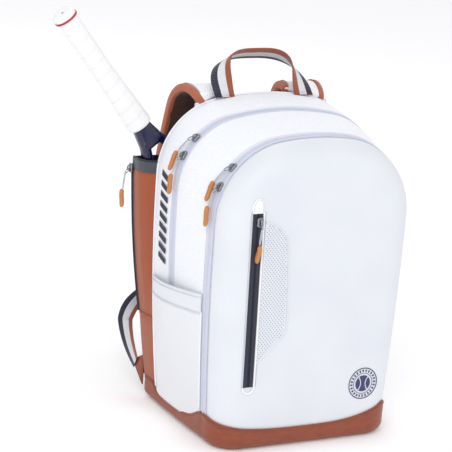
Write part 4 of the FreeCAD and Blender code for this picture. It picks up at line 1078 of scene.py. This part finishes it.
def strap_station(length):
    """Centre line of the left strap: point, outward direction and width, at a length from its seam."""
    fold = math.radians(STRAP_FOLD[0] - STRAP_FOLD[1]) * FOLD_R
    drop_r = (STRAP_LENGTH - fold) / math.radians(STRAP_FOLD[1] + 96.0)
    y, z, heading = 0.0945, 0.478, STRAP_FOLD[0]
    for run, radius in ((min(length, fold), FOLD_R), (max(length - fold, 0), drop_r)):
        turned = heading - math.degrees(run / radius)
        y += radius * (math.sin(math.radians(heading)) - math.sin(math.radians(turned)))
        z += radius * (math.cos(math.radians(turned)) - math.cos(math.radians(heading)))
        heading = turned
    share = length / STRAP_LENGTH
    x = -(0.075 + 0.037 * share ** 0.7)
    turn = math.radians(heading)
    return np.array([x, y, z]), np.array([0, -math.sin(turn), math.cos(turn)]), 0.066 - 0.010 * share


def strap(side, name):
    stations = [strap_station(s) for s in np.linspace(0, STRAP_LENGTH, 90)]
    path = np.array([s[0] for s in stations]) * [-side, 1, 1]
    out = np.array([s[1] for s in stations])
    width = np.array([s[2] for s in stations])
    half = 5.5 * MM
    scale = np.stack([(width / 2 - 3 * MM) / 0.03, np.ones(len(width))], 1)
    scale[-6:, 0] *= np.cos(np.linspace(0, 0.8, 6))
    rows = sweep(path, round_profile(0.03, half * 0.96, 36, 3.2), out=out, scale=scale)
    pad = make("strap_top_" + name, [rows], [M["strap_top"]])
    settle(pad, "strap_" + name, ["strap_pad_" + name])
    creased = path - out * (half + 0.5 * MM)
    waves = np.sin(np.linspace(0, 70, len(path))) * 0.28 * MM + ripple(path, 0.012, 0.35 * MM, 4.0)
    under = sweep(creased - out * waves[:, None], round_profile(0.03, 0.9 * MM, 24, 5), out=out, scale=scale)
    settle(make("strap_under_" + name, [under], [M["strap_lining"]]), "strap_" + name, ["strap_lining_" + name])
    across = unit(np.cross(np.gradient(path, axis=0), out))
    edges = []
    for way in (-1, 1):
        line = path + across * ((width / 2 - 4.2 * MM) * (scale[:, 0] / scale[0, 0]) ** 0.2 * way)[:, None]
        edges.append(sweep(line - out * 0.6 * MM, round_profile(4.6 * MM, half + 0.9 * MM, 20, 3.6), out=out))
    reach = across[-2] * width[-1] * 0.46
    edges.append(sweep(np.array([path[-2] - reach, path[-2] + reach]),
                       round_profile(5 * MM, half + 1.4 * MM, 16, 3.0), out=out[-2]))
    settle(make("strap_binding_" + name, edges, [M["binding"]]), "strap_" + name)
    runs = []
    for way in (-1, 1):
        line = path + across * ((width / 2 - 8.0 * MM) * way)[:, None] + out * (half + 0.55 * MM)
        runs.append((line[2:-3], out[2:-3]))
    stitches("strap_stitches_" + name, runs, "strap_" + name, "brown_thread")


def webbing(side, name):
    """Striped webbing from the buckle, out in a slack bow, to the tab."""
    lock_low, lock_high = low("ladder_lock_" + name), high("ladder_lock_" + name)
    tab_low, tab_high = low("strap_tab_" + name), high("strap_tab_" + name)
    start = np.array([(lock_low.x + lock_high.x) / 2, lock_high.y + 2.2 * MM,
                      (lock_low.z + lock_high.z) / 2 - 4 * MM])
    end = np.array([side * (0.146 + 5.4 * MM), BACK_Y + 22 * MM, (tab_low.z + tab_high.z) / 2 + 4 * MM])
    box_low, box_high = low("webbing_" + name), high("webbing_" + name)
    bow = np.array([side * 0.171, 0.232, 0.098])
    t = np.linspace(0, 1, 60)[:, None]
    path = start * (1 - t) ** 2 + bow * 2 * t * (1 - t) + end * t ** 2
    along = unit(np.gradient(path, axis=0))
    turn = np.radians(90 * t)
    flat = np.concatenate([-side * np.cos(turn), -np.sin(turn) * 0.72, np.sin(turn) * 0.70], 1)
    out = np.cross(along, flat) * -side
    path = np.clip(path, [box_low.x + 1 * MM, box_low.y, box_low.z], [box_high.x - 1 * MM, box_high.y, box_high.z])
    piece = make("webbing_ribbon_" + name, [sweep(path, round_profile(12.5 * MM, 0.8 * MM, 14, 5), out=out)],
                 [M["webbing"]])
    settle(piece, "bag", ["webbing_" + name])


def tab(side, name):
    """Leather triangle stitched to the foot of the sleeve, with its edge turned."""
    lo, hi = low("strap_tab_" + name), high("strap_tab_" + name)
    x0, x1 = lo.x, hi.x
    corners = [(lo.y, lo.z), (hi.y, (lo.z + hi.z) / 2 + 3 * MM), (lo.y, hi.z)]
    ring = []
    for i, (y, z) in enumerate(corners):
        before, after = corners[i - 1], corners[(i + 1) % 3]
        for t in np.linspace(-0.12, 0.12, 7):
            a, b = (before if t < 0 else after), abs(t)
            corner = np.array([y, z]) * (1 - b) + np.array(a) * b
            ring.append(corner * 0.85 + 0.15 * np.array([y, z]) * (1 - 0.12) + 0.15 * 0.06 * (np.array(before) + after))
    ring = np.array(ring)
    centre = ring.mean(0)
    rows = []
    for x, shrink in ((x0, 0.9), (x0 + 0.5 * MM, 0.98), ((x0 + x1) / 2, 1.0), (x1 - 0.5 * MM, 0.98), (x1, 0.9)):
        flat = centre + (ring - centre) * shrink
        rows.append(np.column_stack([np.full(len(flat), x), flat]))
    part = grid(np.array(rows), wrap=True)
    part = cap(0, len(ring), (x0, *centre), part)
    part = cap(4 * len(ring), len(ring), (x1, *centre), part)
    settle(make("leather_tab_" + name, [part], [M["tab"]]), "bag", ["strap_tab_" + name])
    flat = centre + (ring - centre) * 0.84
    face = x0 - 0.1 * MM if side < 0 else x1 + 0.1 * MM
    line = np.column_stack([np.full(len(flat), face), flat])
    stitches("tab_stitches_" + name, [(np.concatenate([line, line[:1]]), (side, 0, 0))], "bag", "brown_thread",
             pitch=3.2 * MM, thick=0.35 * MM)


def yoke():
    lo, hi = low("strap_yoke"), high("strap_yoke")
    rows = []
    for x in np.linspace(lo.x, hi.x, 30):
        ring = round_profile((hi.z - lo.z) / 2, (hi.y - lo.y) / 2, 20, 4)
        rows.append(np.column_stack([np.full(20, x), (lo.y + hi.y) / 2 + ring[:, 1], (lo.z + hi.z) / 2 + ring[:, 0]]))
    part = grid(np.array(rows), wrap=True)
    part = cap(0, 20, rows[0].mean(0), part)
    part = cap(29 * 20, 20, rows[-1].mean(0), part)
    settle(make("yoke_strip", [part], [M["shell"]]), "bag", ["strap_yoke"])
    xs = np.linspace(lo.x + 3 * MM, hi.x - 3 * MM, 50)
    lines = [(np.column_stack([xs, np.full(50, hi.y), np.full(50, z)]), (0, 1, 0))
             for z in (lo.z + 3 * MM, hi.z - 3 * MM)]
    stitches("yoke_stitches", lines, "bag")


def straps():
    for side, name in ((-1, "left"), (1, "right")):
        strap(side, name)
        webbing(side, name)
        tab(side, name)
    yoke()


# ---- Handle ----

def handle():
    """Striped webbing loop: its feet lie across the bag and its top turns over to face up."""
    half, lean = 0.067, math.radians(38.0)
    foot = np.array([0, SEAM_Y - 5 * MM, BAG_TOP - (half - 0.016) ** 2 / (2 * CROWN_R) + 1.2 * MM])
    up, deep = np.array([0, math.sin(lean), math.cos(lean)]), np.array([0, math.cos(lean), -math.sin(lean)])
    path, outs = [], []
    for turn in np.linspace(0, math.pi, 73):
        across = -math.copysign(abs(math.cos(turn)) ** 0.62, math.cos(turn)) * half
        rise = math.sin(turn) ** 0.62 * 0.070 if 0 < turn < math.pi - 1e-9 else 0
        twist = math.radians(90) * max(math.sin(turn), 0) ** 0.8
        side = 1 if turn < math.pi / 2 else -1
        along = np.array([math.sin(turn), 0, 0]) + up * math.cos(turn) * 1.2
        along /= np.linalg.norm(along)
        flat = np.array([-side * math.cos(twist), 0, 0]) + deep * math.sin(twist)
        flat -= along * (flat @ along)
        outs.append(np.cross(along, flat / np.linalg.norm(flat)))
        path.append(foot + [across, 0, 0] + up * (rise - 2.5 * MM * math.exp(-rise / 0.004)))
    ribbon = sweep(np.array(path), round_profile(16 * MM, 1.4 * MM, 20, 5), out=np.array(outs))
    settle(make("handle_webbing", [ribbon], [M["handle"]]), "handle", ["carry_handle"])


# ---- Racket ----

RACKET_LEAN = math.radians(38.3)
BUTT = np.array([-0.325, 0.106, 0.6055])
DOWN = np.array([math.sin(RACKET_LEAN), 0, -math.cos(RACKET_LEAN)])
WIDE = np.array([math.cos(RACKET_LEAN), 0, math.sin(RACKET_LEAN)])
DEPTH = np.array([0.0, 1.0, 0.0])
HEAD_RUN = 0.520                # from the butt to the middle of the head
MAIN_PITCH, CROSS_PITCH = 0.0118, 0.0148


def on_racket(run, across=0.0, deep=0.0):
    """A place on the racket: distance from the butt, across its face, and through it."""
    run, across, deep = (np.atleast_1d(np.asarray(v, float))[:, None] for v in (run, across, deep))
    return BUTT + DOWN * run + WIDE * across + DEPTH * deep


def grip_rows():
    """Overgrip wound in a spiral: eight soft sides, an overlapping edge each turn, flared at the butt."""
    rows = []
    for run in np.arange(0.006, 0.2145, 0.0012):
        turn = np.linspace(0, 2 * math.pi, 40, endpoint=False)
        lap = ((run / 0.021 + turn / (2 * math.pi)) % 1.0)
        step = 0.9 * MM * (lap < 0.1) * np.sin(math.pi * lap / 0.1) + 0.5 * MM * lap
        flare = 1 + 0.13 * math.exp(-run / 0.014) + 0.22 * float(ease((run - 0.10) / 0.115))
        soft = 1 + 0.02 * np.cos(8 * turn)
        x = (15.4 * MM * flare * soft + step) * np.cos(turn)
        y = (13.4 * MM * flare * soft + step) * np.sin(turn)
        rows.append(on_racket(np.full(40, run), x, y))
    return np.array(rows)


def racket():
    grip = make("overgrip_wrap", [grid(grip_rows(), wrap=True)], [M["overgrip"]])
    settle(grip, "racket", ["overgrip"])
    turn = np.linspace(0, 2 * math.pi, 40, endpoint=False)

    def ring(run, size):
        return on_racket(np.full(len(turn), run), size * 17.6 * MM * np.cos(turn), size * 15.6 * MM * np.sin(turn))
    rows = [ring(run, size) for run, size in ((0.001, 0.1), (0.0005, 0.55), (0.0, 0.86), (0.001, 0.95),
                                              (0.003, 1.0), (0.0065, 1.0), (0.009, 0.97))]
    red = [ring(run, size) for run, size in ((0.0085, 0.9), (0.009, 1.03), (0.0115, 1.03), (0.012, 0.9))]
    collar = [ring(run, size) for run, size in ((0.2135, 0.80), (0.214, 1.07), (0.2155, 1.07), (0.217, 0.75))]
    parts = [grid(np.array(rows), wrap=True), grid(np.array(red), wrap=True, mat=1),
             grid(np.array(collar), wrap=True)]
    settle(make("butt_and_collar", parts, [M["overgrip"], M["red"]]), "racket", ["butt_cap"])
    shaft_run = np.linspace(0.212, 0.262, 18)[:15]
    widen = 1 + 0.42 * ease((shaft_run - 0.212) / 0.040)
    parts = [sweep(on_racket(shaft_run), round_profile(14 * MM, 10.5 * MM, 28, 3.2), out=DEPTH,
                   scale=np.stack([widen, np.ones(len(widen))], 1))]
    facets = []
    t = np.linspace(0, 1, 50)
    for way in (-1, 1):
        run = 0.240 + 0.160 * t
        across = way * (10 * MM + 86 * MM * t ** 1.2)
        parts.append(sweep(on_racket(run, across), round_profile(7.5 * MM, 9.9 * MM, 20, 2.6), out=DEPTH))
        facets.append(sweep(on_racket(run[3:], across[3:] - way * 5.4 * MM), round_profile(2.6 * MM, 8 * MM, 12, 3),
                            out=DEPTH, mat=1))
    around = np.linspace(0, 2 * math.pi, 140, endpoint=False)
    hoop = on_racket(HEAD_RUN + 0.158 * np.cos(around), 0.1155 * np.sin(around))
    parts.append(sweep(hoop, round_profile(6.6 * MM, 10.6 * MM, 20, 2.4), out=DEPTH, closed=True))
    grooves = sweep(on_racket(HEAD_RUN + 0.164 * np.cos(around), 0.1215 * np.sin(around)),
                    round_profile(1.2 * MM, 5 * MM, 10, 3), out=DEPTH, closed=True, mat=1)
    settle(make("racket_enamel", parts + facets + [grooves], [M["navy_paint"], M["grey_paint"]]), "racket",
           ["racket_frame"])
    strings()


def strings():
    """Woven string bed: each string passes over and under the crossing ones."""
    parts = []
    a, b = 0.156, 0.1135
    for i in range(-8, 9):
        across = i * MAIN_PITCH
        reach = a * math.sqrt(max(1 - (across / b) ** 2, 0))
        if reach > 0.02:
            run = np.linspace(HEAD_RUN - reach, HEAD_RUN + reach, 90)
            deep = 0.8 * MM * np.cos((run - HEAD_RUN) / CROSS_PITCH * math.pi + i * math.pi)
            parts.append(sweep(on_racket(run, across, deep), round_profile(0.65 * MM, 0.65 * MM, 6), out=DEPTH))
    for j in range(-10, 11):
        run = HEAD_RUN + j * CROSS_PITCH
        reach = b * math.sqrt(max(1 - ((run - HEAD_RUN) / a) ** 2, 0))
        if reach > 0.015:
            across = np.linspace(-reach, reach, 80)
            deep = -0.8 * MM * np.cos(across / MAIN_PITCH * math.pi + j * math.pi)
            parts.append(sweep(on_racket(np.full(80, run), across, deep), round_profile(0.65 * MM, 0.65 * MM, 6),
                               out=DEPTH))
    settle(make("woven_strings", parts, [M["string"]]), "racket", ["string_bed"])


# ---- Sliders and pulls ----

def node_axes(node):
    """Middle of a CAD node, with its long, middle and short directions and its size along each."""
    points = np.array([v.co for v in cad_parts[node].data.vertices], float)
    points = np.unique(np.round(points, 7), axis=0)
    lo, hi = points.min(0), points.max(0)
    centred = points - (lo + hi) / 2
    axes = np.linalg.svd(centred - centred.mean(0), full_matrices=False)[2]
    along = centred @ axes.T
    middle = (lo + hi) / 2 + ((along.max(0) + along.min(0)) / 2) @ axes
    return middle, axes, along.max(0) - along.min(0)


def slider_piece(name):
    """Cast zip slider: rounded body with a waist, and the open bridge that carries its pull."""
    node = name + "_slider"
    middle, axes, size = node_axes(node)
    order = np.argsort(-size)
    long, wide = axes[order[0]], axes[order[1]]
    up = np.cross(long, wide)
    if up @ (middle - BAG_MIDDLE) < 0:
        up = -up
    length, width, height = size[order[0]], size[order[1]], size[order[2]]
    t = np.linspace(-1, 1, 14)
    waist = np.sqrt(np.clip(1 - np.abs(t) ** 5, 0.03, 1)) * (1 - 0.14 * np.exp(-(t / 0.35) ** 2))
    low_mid = middle - up * height * 0.22
    body = sweep(low_mid + long * (t * length / 2)[:, None], round_profile(width / 2, height * 0.28, 18, 3.4),
                 out=up, scale=np.stack([waist, np.sqrt(np.clip(1 - np.abs(t) ** 6, 0.1, 1))], 1))
    turn = np.linspace(0, math.pi, 16)
    bridge = low_mid + long * (np.cos(turn) * length * 0.33)[:, None] + up * (np.sin(turn) * height * 0.66
                                                                          + height * 0.05)[:, None]
    parts = [body, sweep(bridge, round_profile(width * 0.15, 0.7 * MM, 12, 2.6), out=up)]
    settle(make(node + "_metal", parts, [M["nickel"]]), node, [node])


def pull_piece(name):
    """A pull: doubled cord through a small ring, knotted into an S-shaped rubber grip."""
    cord, cord_axes, cord_size = node_axes(name + "_cord")
    grip, grip_axes, grip_size = node_axes(name + "_grip")
    down = grip - cord
    down /= np.linalg.norm(down)
    length = cord_size.max()
    line = cord_axes[np.argmax(cord_size)]
    line = line if line @ down > 0 else -line
    side = grip_axes[np.argsort(-grip_size)[1]]
    side = side - line * (side @ line)
    side /= np.linalg.norm(side)
    face = np.cross(line, side)
    t = np.linspace(0, 1, 26)
    top, foot = cord - line * length / 2, cord + line * length / 2
    slider = node_axes(name + "_slider")[0]
    reach = top - slider
    link = top + line * 2.5 * MM
    start = slider + reach * 0.12
    span = link - start
    turn = np.linspace(0, 2 * math.pi, 40, endpoint=False)
    loop = (start + link) / 2 + span * (np.cos(turn) * 0.5)[:, None] + side * (
        np.sign(np.sin(turn)) * np.abs(np.sin(turn)) ** 0.6 * 3.3 * MM)[:, None]
    settle(make(name + "_loop", [sweep(loop, round_profile(0.75 * MM, 0.75 * MM, 10), closed=True)], [M["nickel"]]),
           name + "_pull")
    parts = []
    for way in (-1, 1):
        spread = np.sin(math.pi * t) ** 0.6 * 1.3 * MM * way
        path = top + (foot - top) * t[:, None] + side * spread[:, None]
        parts.append(sweep(path, round_profile(0.85 * MM, 0.8 * MM, 10), out=face))
    settle(make(name + "_cords", parts, [M["cord"]]), name + "_pull", [name + "_cord"])
    long = grip_axes[np.argmax(grip_size)]
    long = long if long @ line > 0 else -long
    reach = grip_size.max()
    width, thick = sorted(grip_size)[1], sorted(grip_size)[0]
    u = np.linspace(-1, 1, 34)
    bend = np.sin(u * 2.6) * width * 0.26
    path = grip + long * (u * reach / 2)[:, None] + side * bend[:, None]
    swell = np.clip(1 - np.abs(u) ** 4, 0.05, 1) ** 0.5 * (0.80 + 0.24 * u ** 2)
    swell = swell + 0.10 * np.exp(-((u + 0.9) / 0.2) ** 2)
    body = sweep(path, round_profile(width * 0.60, thick * 0.52, 22, 2.6), out=face,
                 scale=np.stack([swell, np.clip(swell * 1.05, 0, 1)], 1))
    ribs = []
    for place in (-0.35, -0.12, 0.12, 0.35):
        centre = grip + long * (place * reach / 2) + side * math.sin(place * 2.6) * width * 0.26
        rib = np.array([centre - side * width * 0.36, centre + side * width * 0.36])
        ribs.append(sweep(rib, round_profile(0.5 * MM, thick * 0.57, 10), out=face))
    settle(make(name + "_rubber", [body] + ribs, [M["grip"]]), name + "_pull", [name + "_grip"])


def pulls():
    for name in ("front_zip_upper", "front_zip_lower", "rear_zip_upper", "rear_zip_lower", "pocket", "sleeve"):
        slider_piece(name)
        pull_piece(name)


# ---- Front pocket ----

def on_face(x, z, lift=0.0):
    return (x, face_y(x, z) - lift, z)


POCKET_TOP, POCKET_LOW = 0.3615, 0.099


def pocket_line(offset=0.0, lift=0.6 * MM, count=60):
    """The front pocket's zip line, which leans slightly."""
    def across(z):
        return -0.107 + 0.004 * (0.5 - (z - POCKET_LOW) / (POCKET_TOP - POCKET_LOW)) * 1.5 + offset
    return np.array([on_face(across(z), z, lift) for z in np.linspace(POCKET_TOP, POCKET_LOW, count)])


def front_pocket():
    tape = sweep(pocket_line(), round_profile(8 * MM, 0.6 * MM, 12, 5), out=(0, -1, 0))
    settle(make("pocket_ribbon", [tape], [M["navy_tape"]]), "front_flap", ["pocket_zip_tape"])
    points, along, outs = spaced(pocket_line(lift=1.3 * MM), 1.5 * MM, (0, -1, 0))
    coil = scatter("pocket_coil", points, outs, along, coil_shape(1.7 * MM), M["navy_coil"])
    settle(coil, "front_flap")
    foot = pocket_line(lift=1.4 * MM)[-1]
    round_end = [foot + np.array([9.4 * math.cos(t), 0, -9.4 * math.sin(t)]) * MM
                 for t in np.linspace(0, math.pi, 18)]
    path = np.concatenate([pocket_line(9.4 * MM, lift=1.4 * MM)[:-1], round_end])
    settle(make("pocket_piping", [sweep(path, round_profile(1.5 * MM, 1.5 * MM, 10), out=(0, -1, 0))],
                [M["piping"]]), "front_flap")
    runs = [(pocket_line(-10.2 * MM, lift=0.3 * MM), (0, -1, 0)), (pocket_line(12.5 * MM, lift=0.3 * MM), (0, -1, 0))]
    stitches("pocket_stitches", runs, "front_flap")
    garage()
    accent()
    emblem()
    print_bars()


def garage():
    """Rubbery end cover over the top of the pocket's zip, shaped like a bullet."""
    top = pocket_line()[0]
    ring = [(-9 * MM, -2 * MM), (-9 * MM, 6 * MM)]
    ring += [(-9 * MM * math.cos(t), 6 * MM + 14 * MM * math.sin(t)) for t in np.linspace(0.15, math.pi - 0.15, 17)]
    ring += [(9 * MM, 6 * MM), (9 * MM, -2 * MM)]
    ring = np.array(ring)
    centre = ring.mean(0)
    rows = []
    for shrink, lift in ((1.0, -0.5), (1.0, 1.2), (0.97, 1.9), (0.90, 2.3), (0.5, 2.4), (0.1, 2.4)):
        flat = centre + (ring - centre) * shrink
        rows.append([on_face(top[0] + x, top[2] + z, lift * MM) for x, z in flat])
    part = grid(np.array(rows), wrap=True)
    part = cap(5 * len(ring), len(ring), np.array(rows[-1]).mean(0), part)
    settle(make("garage_cover", [part], [M["piping"]]), "front_flap", ["zip_garage"])
    flat = centre + (ring - centre) * 0.80
    line = np.array([on_face(top[0] + x, top[2] + z, 2.4 * MM) for x, z in flat])
    stitches("garage_stitches", [(line, (0, -1, 0))], "front_flap", pitch=2.4 * MM, thick=0.3 * MM)


ACCENT_LEFT, ACCENT_LOW, ACCENT_TOP = -0.0965, 0.134, 0.346


def accent_right(z):
    """Right edge of the accent panel: round at the top, nearly straight, and drawn in below."""
    if z > 0.306:
        t = (z - 0.306) / (ACCENT_TOP - 0.306)
        return ACCENT_LEFT + 0.040 * (1 - t ** 2.2) ** 0.75
    if z > 0.182:
        t = (0.306 - z) / 0.124
        return -0.0565 + 0.0072 * math.sin(t * math.pi / 2)
    t = (0.182 - z) / (0.182 - ACCENT_LOW)
    return -0.0493 + (ACCENT_LEFT + 0.0493 + 0.002) * (t ** 1.15)


def accent():
    """Perforated panel beside the pocket's zip, with staggered round holes and a raised border."""
    levels = ACCENT_LOW + (ACCENT_TOP - ACCENT_LOW) * (1 - np.cos(np.linspace(0, math.pi, 70))) / 2
    rows = [[on_face(ACCENT_LEFT + (accent_right(z) - ACCENT_LEFT) * s, z, 0.7 * MM) for s in np.linspace(0, 1, 16)]
            for z in levels]
    sheet("accent_panel", [grid(np.array(rows))], [M["shell"]], (0, 0, 0.2), 1.0 * MM,
          "front_flap", ["accent_mesh"])
    border = np.array([on_face(accent_right(z), z, 1.0 * MM) for z in levels])
    settle(make("accent_border", [sweep(border, round_profile(1.3 * MM, 1.1 * MM, 10), out=(0, -1, 0))],
                [M["shell"]]), "front_flap")
    places = []
    for i, z in enumerate(np.arange(ACCENT_LOW + 5 * MM, ACCENT_TOP - 4 * MM, 3.0 * MM)):
        x = ACCENT_LEFT + 4 * MM + (i % 2) * 2.5 * MM
        while x < accent_right(z) - 3.2 * MM:
            places.append(on_face(x, z, 0.78 * MM))
            x += 5 * MM
    turn = np.linspace(0, 2 * math.pi, 8, endpoint=False)
    dish = [np.column_stack([r * MM * np.cos(turn), r * MM * np.sin(turn), np.full(8, h * MM)])
            for r, h in ((0.85, 0.0), (0.62, 0.02), (0.45, -0.05))]
    part = cap(16, 8, (0, 0, -0.05 * MM), grid(np.array(dish), wrap=True))
    shape = make("hole_shape", [part], [M["hole"]])
    holes = scatter("accent_holes", places, [(0, -1, 0)] * len(places), [(1, 0, 0)] * len(places), shape, M["hole"])
    settle(holes, "front_flap")


def emblem():
    """Generic printed roundel: a ball with two seams inside a ring of ticks."""
    cx, cz = 0.091, 0.086

    def flat_ring(r0, r1, lift, a0=0.0, a1=2 * math.pi, count=64):
        turn = np.linspace(a0, a1, count)
        return np.array([[on_face(cx + r * math.cos(t), cz + r * math.sin(t), lift) for t in turn] for r in (r0, r1)])
    parts = [grid(flat_ring(23.2 * MM, 24.6 * MM, 0.65 * MM)), grid(flat_ring(15.6 * MM, 16.4 * MM, 0.65 * MM)),
             grid(flat_ring(0.2 * MM, 12.6 * MM, 0.65 * MM))]
    for i in range(24):
        a = 2 * math.pi * i / 24
        parts.append(grid(flat_ring(18.0 * MM, 21.6 * MM, 0.65 * MM, a, a + 0.12, 4)))
    settle(make("roundel_print", parts, [M["roundel"]], fix=False), "front_flap", ["emblem"])
    seams = []
    for way in (-1, 1):
        t = np.linspace(-1.0, 1.0, 30)
        path = np.array([on_face(cx + way * (11.5 - 7.5 * math.cos(v * 1.1)) * MM, cz + v * 10.4 * MM, 0.85 * MM)
                         for v in t])
        seams.append(sweep(path, round_profile(0.7 * MM, 0.2 * MM, 8), out=(0, -1, 0)))
    settle(make("roundel_seams", seams, [M["shell"]]), "front_flap")


def print_bars():
    """Generic print up the left side: a column of slanted bars."""
    parts = []
    for i in range(9):
        z0 = 0.240 + i * 0.0155
        rows = []
        for v in np.linspace(0, 1, 4):
            row = []
            for u in np.linspace(0, 1, 10):
                y, z = 0.036 + 0.024 * u, z0 + 0.0085 * v + 0.007 * u
                puff = SIDE_PUFF * math.sin(math.pi * (y - ZIP2_Y) / (SEAM_Y - ZIP2_Y)) ** 0.7
                line, out = bend_arch(MID_ARCH, REAR_ARCH, y, puff)
                left = slice(0, SIDE_STEPS + TURN_STEPS)
                at = [np.interp(z, line[left, 2], (line + out * 1.5 * MM)[left, k]) for k in range(2)]
                row.append([*at, z])
            rows.append(row)
        parts.append(grid(np.array(rows)))
    printed = make("side_print", parts, [M["print"]], fix=False)
    outward(printed, (0, 0.05, 0.3))
    settle(printed, "bag")


# ---- Inside ----

def quilted(name, arch, inset, body, node, foot):
    """Padded inner wall: a shallow quilted face."""
    middle = (low(node).y + high(node).y) / 2
    thick = max(high(node).y - low(node).y - 1 * MM, 1.5 * MM)
    edge = arch_line((middle - thick / 2,) + arch[1:], inset, foot)[0]
    spine = np.stack([edge[:, 0] * 0, edge[:, 1], np.minimum(edge[:, 2], 0.30)], 1)
    rows = []
    for share in np.linspace(0, 1, 24):
        row = edge + (spine - edge) * share
        row[:, 1] -= 0.5 * MM * np.abs(np.sin(row[:, 0] / 0.011) * np.sin(row[:, 2] / 0.011)) * ease(share * 4)
        rows.append(row)
    sheet(name, [grid(np.array(rows))], [M["lining"]], (0, middle + 0.05, 0.2), thick, body, [node])


def inside():
    mid = between(FRONT_ARCH, MID_ARCH, (low("mid_divider").y + high("mid_divider").y) / 2)
    quilted("middle_wall", mid, 6 * MM, "mid_section", "mid_divider", low("mid_divider").z)
    rear = between(MID_ARCH, REAR_ARCH, (low("sleeve_divider").y + high("sleeve_divider").y) / 2)
    quilted("sleeve_wall_inner", rear, 6 * MM, "bag", "sleeve_divider", low("sleeve_divider").z)
    lo, hi = low("laptop_sleeve"), high("laptop_sleeve")
    rows = []
    for z in np.linspace(lo.z, hi.z, 30):
        xs = np.linspace(lo.x, hi.x, 40)
        swell = np.sin(math.pi * (xs - lo.x) / (hi.x - lo.x)) ** 0.4
        rows.append(np.column_stack([xs, hi.y - (hi.y - lo.y - 1 * MM) * swell, np.full(40, z)]))
    sheet("laptop_pouch", [grid(np.array(rows))], [M["lining"]], (0, hi.y + 0.1, 0.2), 1.4 * MM,
          "bag", ["laptop_sleeve"])
    settle(make("pouch_hem", [sweep(rows[-1], round_profile(2.2 * MM, 1.6 * MM, 10), out=(0, 0, 1))], [M["collar"]]),
           "bag")


# ---- Nodes carried over, floor, light and camera ----

CARRIED = {
    "base_board": "board", "ladder_lock_left": "plastic", "ladder_lock_right": "plastic",
}


def carry_over():
    """Finishes for the CAD nodes that stay as they are."""
    for name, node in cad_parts.items():
        node.data.materials.clear()
        node.data.materials.append(M[CARRIED.get(name, "lining")])


def studio():
    floor = make("floor", [grid(np.array([[[-4, -4, 0], [4, -4, 0]], [[-4, 4, 0], [4, 4, 0]]], float))],
                 [surface("plain_floor", "F7F7F8", 0.9, Emission_Color=(1, 1, 1, 1), Emission_Strength=0.13)[0]],
                 fix=False)
    scene = bpy.context.scene
    scene.view_settings.view_transform = "Standard"
    world = bpy.data.worlds.new("soft_room")
    world.use_nodes = True
    background = world.node_tree.nodes["Background"]
    background.inputs["Color"].default_value = hex_colour("FDFDFE")
    seen = put(world.node_tree, "ShaderNodeLightPath").outputs["Is Camera Ray"]
    level = put(world.node_tree, "ShaderNodeMapRange", {"Value": seen, "To Min": 0.86, "To Max": 1.02})
    world.node_tree.links.new(level.outputs[0], background.inputs["Strength"])
    scene.world = world
    for name, place, size, power in (("key", (-1.6, -2.0, 2.4), 1.4, 28), ("fill", (2.4, -1.6, 1.2), 2.0, 4),
                                     ("rim", (0.6, 2.4, 2.2), 1.6, 8)):
        lamp = bpy.data.lights.new(name, "AREA")
        lamp.size = size
        lamp.energy = power
        made = bpy.data.objects.new(name, lamp)
        made.location = place
        made.rotation_euler = (Vector((0, 0, 0.25)) - Vector(place)).to_track_quat("-Z", "Y").to_euler()
        scene.collection.objects.link(made)


def camera():
    """Long lens, a little above the bag and to its left, turned slightly about its own axis."""
    around, above, roll = math.radians(-28.32), math.radians(15.42), math.radians(4.43)
    back = Vector((math.sin(around) * math.cos(above), -math.cos(around) * math.cos(above), math.sin(above)))
    right = Vector((math.cos(around), math.sin(around), 0))
    up = back.cross(right)
    turned = Matrix((right * math.cos(roll) + up * math.sin(roll),
                     up * math.cos(roll) - right * math.sin(roll), back)).transposed()
    view = bpy.data.objects.new("camera", bpy.data.cameras.new("camera"))
    view.data.sensor_width = 36
    view.data.lens = 160.27
    view.matrix_world = Matrix.Translation(Vector((-0.09386, -0.005, 0.30621)) + back * 2.95605) @ turned.to_4x4()
    bpy.context.scene.collection.objects.link(view)
    bpy.context.scene.camera = view


for build in (shells, zips, boot, side_pockets, sleeve_flap, sleeve_wall, sleeve_seam, back, straps, handle, racket,
              pulls, front_pocket, inside):
    build()
carry_over()
studio()
camera()
